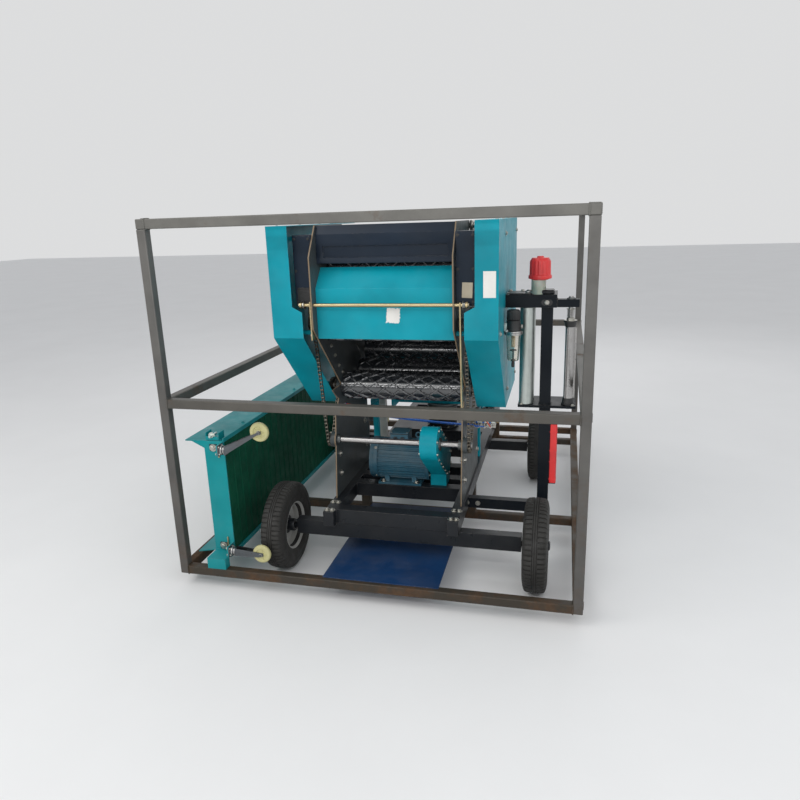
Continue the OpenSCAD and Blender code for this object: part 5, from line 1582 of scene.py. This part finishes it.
ring = by_table(0, 0, 332) + 0.095 * directions(UP, np.arange(12) * np.pi / 6)
ring_bolts = bolts(ring, UP, 0.009, 0.007)
nipple = rod(by_table(90.5, 0, 400), by_table(99, 0, 400), 0.004, 12)
groups = in_finish(ring_bolts + [nipple], bolt_steel)
groups.append((lathe_mm(RACE_RING, by_table(0, 0, 454.5), UP, 72, False), cast))
groups += in_finish([weld(by_table(-60, y, 320.5), by_table(60, y, 320.5)) for y in (-111, 111)], black)
dress("table_bearing", groups, "table_base")

seams, heads = [], []
for s in (-1, 1):
    x = s * CHEEK_X
    seams.append(weld(by_table(x, -58, BEAM_TOP), by_table(x, 58, BEAM_TOP)))
    seams += [weld(by_table(x, y, 481.5), by_table(x, y, 519.5)) for y in (-60, 60)]
    heads += bolts([by_table(s * 282.5, y, 615) for y in (-160, 160)], RIGHT * s, 0.022, 0.012)
beam_holes = ((-60, -40), (60, -40), (-60, 40), (60, 40), (-200, 0), (200, 0))
heads += bolts([by_table(x, y, BEAM_TOP) for x, y in beam_holes], UP, 0.016, 0.009)
dress("turntable_details", in_finish(seams, teal) + in_finish(heads, bolt_steel), "turntable")

# %% [markdown]
# Each table roller has a rubber sleeve with grooves along it: a grid of angle by length whose radius
# dips at every sixth line of angle.

# %% Table rollers
SLEEVE_LINES, SLEEVE_DIP = 144, 0.0022
SLEEVE_HALF, DISC_FROM = 270.2, 262


def table_roller(name):
    """A steel shaft in a rubber sleeve: r = radius - dip on every sixth of the sleeve's lines."""
    c = middle(name) * [0, 1, 1] + RIGHT * MX
    t = np.linspace(0, 2 * np.pi, SLEEVE_LINES, endpoint=False)
    dip = np.where(np.arange(SLEEVE_LINES) % 6 == 0, SLEEVE_DIP, 0)
    heights = np.array([-270, -269, -267, 267, 269, 270]) * MM
    radius = np.array([41, 44, 45, 45, 44, 41]) * MM - dip[:, None] * [0, 1, 1, 1, 1, 0]
    points = c + heights[None, :, None] * RIGHT + radius[:, :, None] * directions(RIGHT, t)[:, None]
    groups = [((points.reshape(-1, 3), grid_faces(SLEEVE_LINES, 6, True, False).tolist()), black_rubber),
              (rod(c - RIGHT * 0.286, c + RIGHT * 0.286, 0.010, 28), bright)]
    for out in (-RIGHT, RIGHT):
        end = c + out * SLEEVE_HALF * MM
        groups.append((rod(c + out * DISC_FROM * MM, end, 0.0415, 40), bolt_steel))
        groups.append((bolt(end, out, 0.024, 0.0025, False), bolt_steel))
    return dress(name + "_dressed", groups, name, 30.0, True)


black_rubber = plastic("roller_rubber", (0.018, 0.018, 0.019), 0.6, 0.3, 0.2, 180.0)
for name in ("table_roller_1", "table_roller_2"):
    table_roller(name)

# %% [markdown]
# The ramp is sheet on two side strips. Such sheet is stitched with short beads, not one long one, so
# that it doesn't warp, and the beads follow the ramp's slope.

# %% Ramp and chassis fasteners
RAMP_FROM, RAMP_TO = np.array([870, 766]), np.array([1195, 661])
STITCHES = ((875, 960), (985, 1055), (1095, 1190))


def ramp_height(y):
    """The height of the ramp's seam at y: a straight line 6.5 mm under the sheet."""
    return np.interp(y, [RAMP_FROM[0], RAMP_TO[0]], [RAMP_FROM[1], RAMP_TO[1]]) - 6.5


seams, rail_seams, heads = [], [], []
for s in (-1, 1):
    heads += bolts([at(s * 305, y, 690) for y in (1066, 1084)], RIGHT * s, 0.013, 0.007)
    seams += [weld(at(s * 257.5, y0, ramp_height(y0)), at(s * 257.5, y1, ramp_height(y1)), 0.0028)
              for y0, y1 in STITCHES]
    seams.append(weld(at(s * 275, 1059.5, 320.5), at(s * 305, 1059.5, 320.5)))
    rail_seams += [weld(at(s * 264.5, y + 5, 250.5), at(s * 264.5, y + 60, 250.5)) for y in (210, 290)]
groups = in_finish(heads, bolt_steel) + in_finish(seams, teal) + in_finish(rail_seams, black)
dress("ramp_details", groups, "bale_ramp")

# %% [markdown]
# The cabinet's door closes on a rubber seal and has a quarter-turn lock beside its handle. Cable
# glands sit under the box. A louvre is a pressed slot, built here as a half-round hood.

# %% Cabinet
LOCK_Y, LOCK_Z = 1220, 1045
LOUVRES, LOUVRE_FIRST, LOUVRE_STEP = 6, 826, 14


def by_front(x, y, z):
    """A point in mm on the scene's own X: back from the frame's front, and up."""
    return np.array([0, FRONT, 0]) + np.array([x, y, z]) * MM


def hood(x, y0, y1, z, r=0.006):
    """A louvre: a quarter-round hood along Y, closed on top and open below."""
    t = np.linspace(0, np.pi / 2, 7)
    outline = np.concatenate([np.stack([-r * np.cos(t), r * np.sin(t)], -1), [[0, 0], [-r + 0.001, 0]]])
    return prism(outline + [x, z], 1, y0, y1)


door = span("cabinet_door")[1][0] / MM - 16
# a thin black bar on the lock's face is painted shade for its key slot
lock_slot_shade_from, lock_slot_shade_to = by_front(door - 5.5, LOCK_Y - 1, LOCK_Z - 8), by_front(door - 4, LOCK_Y + 1, LOCK_Z + 8)
groups = [(rod(by_front(door, LOCK_Y, LOCK_Z), by_front(door - 4, LOCK_Y, LOCK_Z), 0.011, 28), bolt_steel),
          (block(lock_slot_shade_from, lock_slot_shade_to, 0.0003), black_plastic)]
for k in range(LOUVRES):
    x, _, z = by_front(door + 0.2, 0, LOUVRE_FIRST + LOUVRE_STEP * k)
    groups.append((hood(x, FRONT + 1.285, FRONT + 1.395, z), cabinet_grey))
dress("door_details", groups, "cabinet_door")

groups = []
for y in (1240, 1290, 1340, 1390):
    c = by_front(-455, y, 779.8)
    groups += in_finish([bolt(c, -UP, 0.022, 0.006, False), upright(c, -6, -16, 0.0095)], black_plastic)
bracket_holes = [by_front(-379.8, y, z) for y in (1200, 1238) for z in (828, 852)]
groups += in_finish(bolts(bracket_holes, RIGHT, 0.011, 0.006), bolt_steel)
pins = [rod(by_front(-553.5, 1450.5, z), by_front(-553.5, 1452.5, z), 0.003, 12)
        for z in (833, 857, 1073, 1097)]
dress("cabinet_details", groups + in_finish(pins, bolt_steel), "control_cabinet")

# %% [markdown]
# ## Feed conveyor and casters
#
# The stowed conveyor shows its belt's edge, its teal side channel and four swivel casters. The belt
# is rubber with low cross cleats, and its drum shafts end in square take-up blocks with threaded
# rods. Each caster gets a cream tyre with a raised hub, and a fork with a ball race and kingpin nut.

# %% Casters
def caster(name):
    """A wheel turned about Y: rounded tread, a groove by the hub, and spokes pressed in each face."""
    lo, hi = span(name)
    c = (lo + hi) / 2
    r, w = (hi[2] - lo[2]) / 2 / MM, (hi[1] - lo[1]) / 2 / MM
    half = [[w - 8, r], [w - 5, r - 1], [w - 2, r - 4], [w - 0.8, r - 9], [w - 0.8, 27], [w - 3.5, 25],
            [w - 3.5, 15], [w, 14], [w, 9]]
    profile = [[-y, radius] for y, radius in half[::-1]] + half
    groups = [(lathe_mm(profile, c, BACK, 64, False), cream)]
    spoke, faces = block((0.0145, -0.0022, 0), (0.0255, 0.0022, 0.0022), 0.0006)
    for s in (-1, 1):
        face = c + BACK * s * w * MM
        groups.append((rod(face - BACK * s * 0.004, face + BACK * s * 0.0003, 0.0095, 24), bolt_steel))
        flat = np.stack([spoke[:, 0], (w * MM - 0.0034 + spoke[:, 2]) * s, spoke[:, 1]], -1)
        groups += [(moved(turned((flat, faces), BACK, t), c), cream) for t in np.arange(5) * 2 * np.pi / 5]
    return dress(name + "_dressed", groups, name, 30.0, True)


casters = [f"caster_{k}" for k in range(1, 5)]
for name in casters:
    caster(name)

# %% [markdown]
# Each fork turns on a kingpin in a ball race under a square plate with four bolts. The conveyor
# stands on its side, so only the height of the kingpin differs between upper and lower forks.

# %% Caster forks
UPPER_PIN, LOWER_PIN = 661, 173
BALL_RACE = [[12, 17], [12, 20.5], [14, 22], [17, 22], [19, 20.5], [19, 17]]

groups, heads = [], []
fork_x = span("caster_forks")[0][0]
for name in casters:
    c = middle(name)
    for out in (-BACK, BACK):
        heads.append(bolt(c + out * 0.0152, out, 0.013, 0.0045, False))
    post = np.array([fork_x, c[1], (UPPER_PIN if c[2] > 0.5 else LOWER_PIN) * MM])
    groups += [(rod(post + RIGHT * 0.0062, post + RIGHT * 0.012, 0.0195, 32), fork_zinc),
               (lathe_mm(BALL_RACE, post, RIGHT, 36), bright),
               (rod(post + RIGHT * 0.0245, post + RIGHT * 0.0290, 0.0195, 32), bright)]
    corners = np.array([(0, y, z) for y in (-14, 14) for z in (-16, 16)]) * MM
    heads += bolts(post + RIGHT * 0.0062 + corners, RIGHT, 0.009, 0.0045, False)
    heads += bolts(post - RIGHT * 0.0052 + corners, -RIGHT, 0.009, 0.004)
dress("caster_fittings", groups + in_finish(heads, bolt_steel), "caster_forks")

# %% [markdown]
# The belt's drums are tightened by square blocks that a threaded rod pulls along the channel. At the
# end that shows in front, a small three-sided bracket carries the stub of a locking pin.

# %% Conveyor fittings
EDGE_X, TAKE_UP_X, PIN_X = -711, -713.5, -722
UPPER_EDGE, LOWER_EDGE = 685.2, 144.8

b_lo, b_hi = span("conveyor_belt")
steps = np.arange(b_lo[1] + 0.28, b_hi[1] - 0.05, 0.32)
groups = []
for edge, out in ((UPPER_EDGE, UP), (LOWER_EDGE, -UP)):
    heads = bolts([np.array([EDGE_X * MM, y, edge * MM]) for y in steps], out, 0.010, 0.004)
    groups += in_finish(heads, teal_old)
for end, out in ((b_lo[1] - 0.0052, -BACK), (b_hi[1] + 0.0052, BACK)):
    for z, inward in ((655, -45), (175, 45)):
        c = np.array([TAKE_UP_X * MM, end, z * MM])
        nut_rod = c + RIGHT * 0.0235 + out * 0.004
        half = np.array([17.5, 0, 16]) * MM
        groups += [(block(c - half + out * 0.0002, c + half + out * 0.006, 0.001), black),
                   (bolt(c + out * 0.006, out, 0.018, 0.008), bolt_steel),
                   (rod(nut_rod, nut_rod + UP * inward * MM, 0.004, 12), zinc)]
for z, up in ((685.6, 1), (144.2, -1)):
    bracket = [block(by_front(x - 2, 98, z), by_front(x + 2, 150, z + up * 34), 0.001) for x in (-752, -690)]
    bracket.append(block(by_front(-752, 96, z), by_front(-690, 100, z + up * 18), 0.001))
    pin_z = z + up * 21
    stub = rod(by_front(PIN_X, 78, pin_z), by_front(PIN_X, 140, pin_z), 0.0055, 20)
    nut = bolt(by_front(PIN_X, 100, pin_z), -BACK, 0.017, 0.007)
    groups += in_finish(bracket, teal_old) + in_finish([stub, nut], aluminium)
dress("conveyor_fittings", groups, "conveyor_frame")

# %% [markdown]
# Low cleats across the belt keep the crop from sliding back. One half cylinder is repeated by an
# array of offsets, on both faces, which is quicker than an object for each.

# %% Belt with cross cleats
CLEAT_STEP, CLEAT_HEIGHT, CLEAT_HALF = 0.060, 0.0025, 0.004


def cleats(lo, hi):
    """Low round cleats across both faces of the belt: half cylinders at equal steps along it."""
    t = np.linspace(0, np.pi, 7)
    y = np.arange(lo[1] + 0.02, hi[1] - 0.01, CLEAT_STEP)
    offsets = y[:, None] * BACK
    parts = []
    for x, s in ((lo[0], -1), (hi[0], 1)):
        outline = np.stack([x + s * CLEAT_HEIGHT * np.sin(t), CLEAT_HALF * np.cos(t)], -1)
        parts.append(repeat(prism(outline, 2, lo[2] + 0.004, hi[2] - 0.004), offsets))
    return join(parts)


dress("belt_cleats", [(cleats(b_lo, b_hi), belt)], "conveyor_belt")

# %% [markdown]
# ## Welds of the transport frame
#
# The frame is tube cut square and welded on the spot, so each joint has a rough bead and burnt
# edges. The beads run along the four sides of a rail's end where it meets a post.

# %% Frame welds
FRAME_HALF, FRAME_LENGTH, TUBE_W, BEAD_AT = 0.900, 2.350, 0.040, 0.0205
RAIL_HEIGHTS = (0.080, 0.875, 1.625)
BEARERS_Y = (0.820, 2.090)


def end_beads(centre, normal):
    """Four beads round the end of a square tube that meets a plate: along u and v, half a tube out."""
    _, u, v = frame_for(normal)
    ring = [np.asarray(centre) + BEAD_AT * (a * u + b * v) for a, b in ((-1, -1), (1, -1), (1, 1), (-1, 1))]
    return [weld(start, end, 0.003) for start, end in zip(ring, ring[1:] + ring[:1])]


parts = []
for sx in (-1, 1):
    for y, sy in ((FRONT, -1), (FRONT + FRAME_LENGTH, 1)):
        for z in RAIL_HEIGHTS:
            parts += end_beads((sx * (FRAME_HALF - TUBE_W), y - sy * TUBE_W / 2, z), RIGHT)
            parts += end_beads((sx * (FRAME_HALF - TUBE_W / 2), y - sy * TUBE_W, z), BACK)
    for y in BEARERS_Y:
        parts += end_beads((sx * (FRAME_HALF - TUBE_W), FRONT + y, RAIL_HEIGHTS[0]), RIGHT)
dress("frame_welds", in_finish(parts, mill), "transport_rails", 50.0)

# %% [markdown]
# ## Camera, floor and light
#
# The camera stands where the photographer stood: 1.6 m up, a little to the right, looking down
# by 15 degrees. Its direction and its small roll were worked out from the corners of the
# transport frame. The floor and the wall are one pale tone, and three large soft lamps light
# the machine without hard shadows.

# %% Camera
CAMERA_AT = (0.789, -3.591, 1.615)
CAMERA_YAW, CAMERA_PITCH, CAMERA_ROLL = 14.26, 15.36, -1.88
LENS, SENSOR = 29.75, 36.0


def add_camera():
    """A camera whose axes come from its yaw to the left, its pitch down and its roll."""
    yaw, pitch, roll = (math.radians(a) for a in (CAMERA_YAW, CAMERA_PITCH, CAMERA_ROLL))
    ahead = Vector((-math.sin(yaw) * math.cos(pitch), math.cos(yaw) * math.cos(pitch), -math.sin(pitch)))
    level = Vector((math.cos(yaw), math.sin(yaw), 0))
    above = level.cross(ahead)
    right = math.cos(roll) * level + math.sin(roll) * above
    up = -math.sin(roll) * level + math.cos(roll) * above
    data = bpy.data.cameras.new("camera")
    data.lens, data.sensor_width = LENS, SENSOR
    data.clip_start, data.clip_end = 0.05, 60
    cam = bpy.data.objects.new("camera", data)
    cam.matrix_world = Matrix((right, up, -ahead)).transposed().to_4x4()
    cam.location = CAMERA_AT
    bpy.context.scene.collection.objects.link(cam)
    bpy.context.scene.camera = cam
    print("camera at", CAMERA_AT, "lens", LENS)


add_camera()

# %% [markdown]
# The floor takes the machine's shadow. The world is a mid grey for the light it gives, and paler where
# the camera or a reflection looks at it: that makes a pale background without more light on the machine.

# %% Floor and world
FLOOR_HALF = 30.0
FLOOR_DARK, FLOOR_PALE = (0.84, 0.84, 0.835), (0.87, 0.87, 0.865)
WORLD_LIGHT, WORLD_MIRRORED, WORLD_SEEN = (0.56, 0.57, 0.59), (0.78, 0.79, 0.80), (0.72, 0.725, 0.73)


def add_floor():
    """A wide pale floor that keeps the shadow."""
    m, tree, shader = new_material("floor_pale")
    tone = blend_colour(tree, ramp(tree, noise(tree, 1.2, 6.0), 0.3, 0.7), FLOOR_DARK, FLOOR_PALE)
    tree.links.new(tone, shader.inputs["Base Color"])
    shader.inputs["Roughness"].default_value = 0.85
    mesh = bpy.data.meshes.new("floor")
    corners = [(x * FLOOR_HALF, y * FLOOR_HALF, 0) for x, y in ((-1, -1), (1, -1), (1, 1), (-1, 1))]
    mesh.from_pydata(corners, [], [(0, 1, 2, 3)])
    mesh.materials.append(m)
    floor = bpy.data.objects.new("floor", mesh)
    bpy.context.scene.collection.objects.link(floor)


def add_world():
    """Pale to the camera and in reflections, and a soft even light for everything else."""
    world = bpy.data.worlds.new("studio")
    bpy.context.scene.world = world
    world.use_nodes = True
    tree = world.node_tree
    background = tree.nodes["Background"]
    path = tree.nodes.new("ShaderNodeLightPath")
    bounced = math_node(tree, "ADD", path.outputs["Is Glossy Ray"], path.outputs["Is Transmission Ray"])
    tone = blend_colour(tree, bounced, WORLD_LIGHT, WORLD_MIRRORED)
    tone = blend_colour(tree, path.outputs["Is Camera Ray"], tone, WORLD_SEEN)
    tree.links.new(tone, background.inputs["Color"])
    background.inputs["Strength"].default_value = 1.0


add_floor()
add_world()
print("floor and world:", 2 * FLOOR_HALF, "m across, background tone", WORLD_SEEN)

# %% [markdown]
# Three large soft lamps model the shape, and two long narrow ones in front draw the highlights along
# tubes and rollers. A highlight is a picture of its lamp, so a narrow lamp gives a crisp line.

# %% Lamps
def area_light(name, place_at, to, size, power, colour=(1, 1, 1)):
    """A soft lamp of a width and a height at a point, turned towards another."""
    data = bpy.data.lights.new(name, "AREA")
    data.shape = "RECTANGLE"
    data.size, data.size_y, data.energy, data.color = *size, power, colour
    lamp = bpy.data.objects.new(name, data)
    lamp.location = place_at
    lamp.rotation_euler = (Vector(to) - Vector(place_at)).to_track_quat("-Z", "Y").to_euler()
    bpy.context.scene.collection.objects.link(lamp)


area_light("key", (-2.6, -3.6, 4.6), (0, 0, 0.8), (3.0, 3.0), 80, (1.0, 0.985, 0.96))
area_light("fill", (3.6, -2.6, 3.0), (0, 0, 0.8), (3.0, 3.0), 30, (0.95, 0.98, 1.0))
area_light("rim", (0.5, 4.4, 4.2), (0, 0, 1.0), (3.5, 3.5), 40)
area_light("strip", (0.2, -4.6, 3.3), (0, -0.6, 1.1), (4.5, 0.16), 32)
area_light("window", (0.3, -6.4, 2.1), (0, -0.4, 0.95), (5.0, 0.13), 42)
bpy.context.scene.view_settings.view_transform = "Standard"
print("lamps:", [lamp.name for lamp in bpy.data.lights])
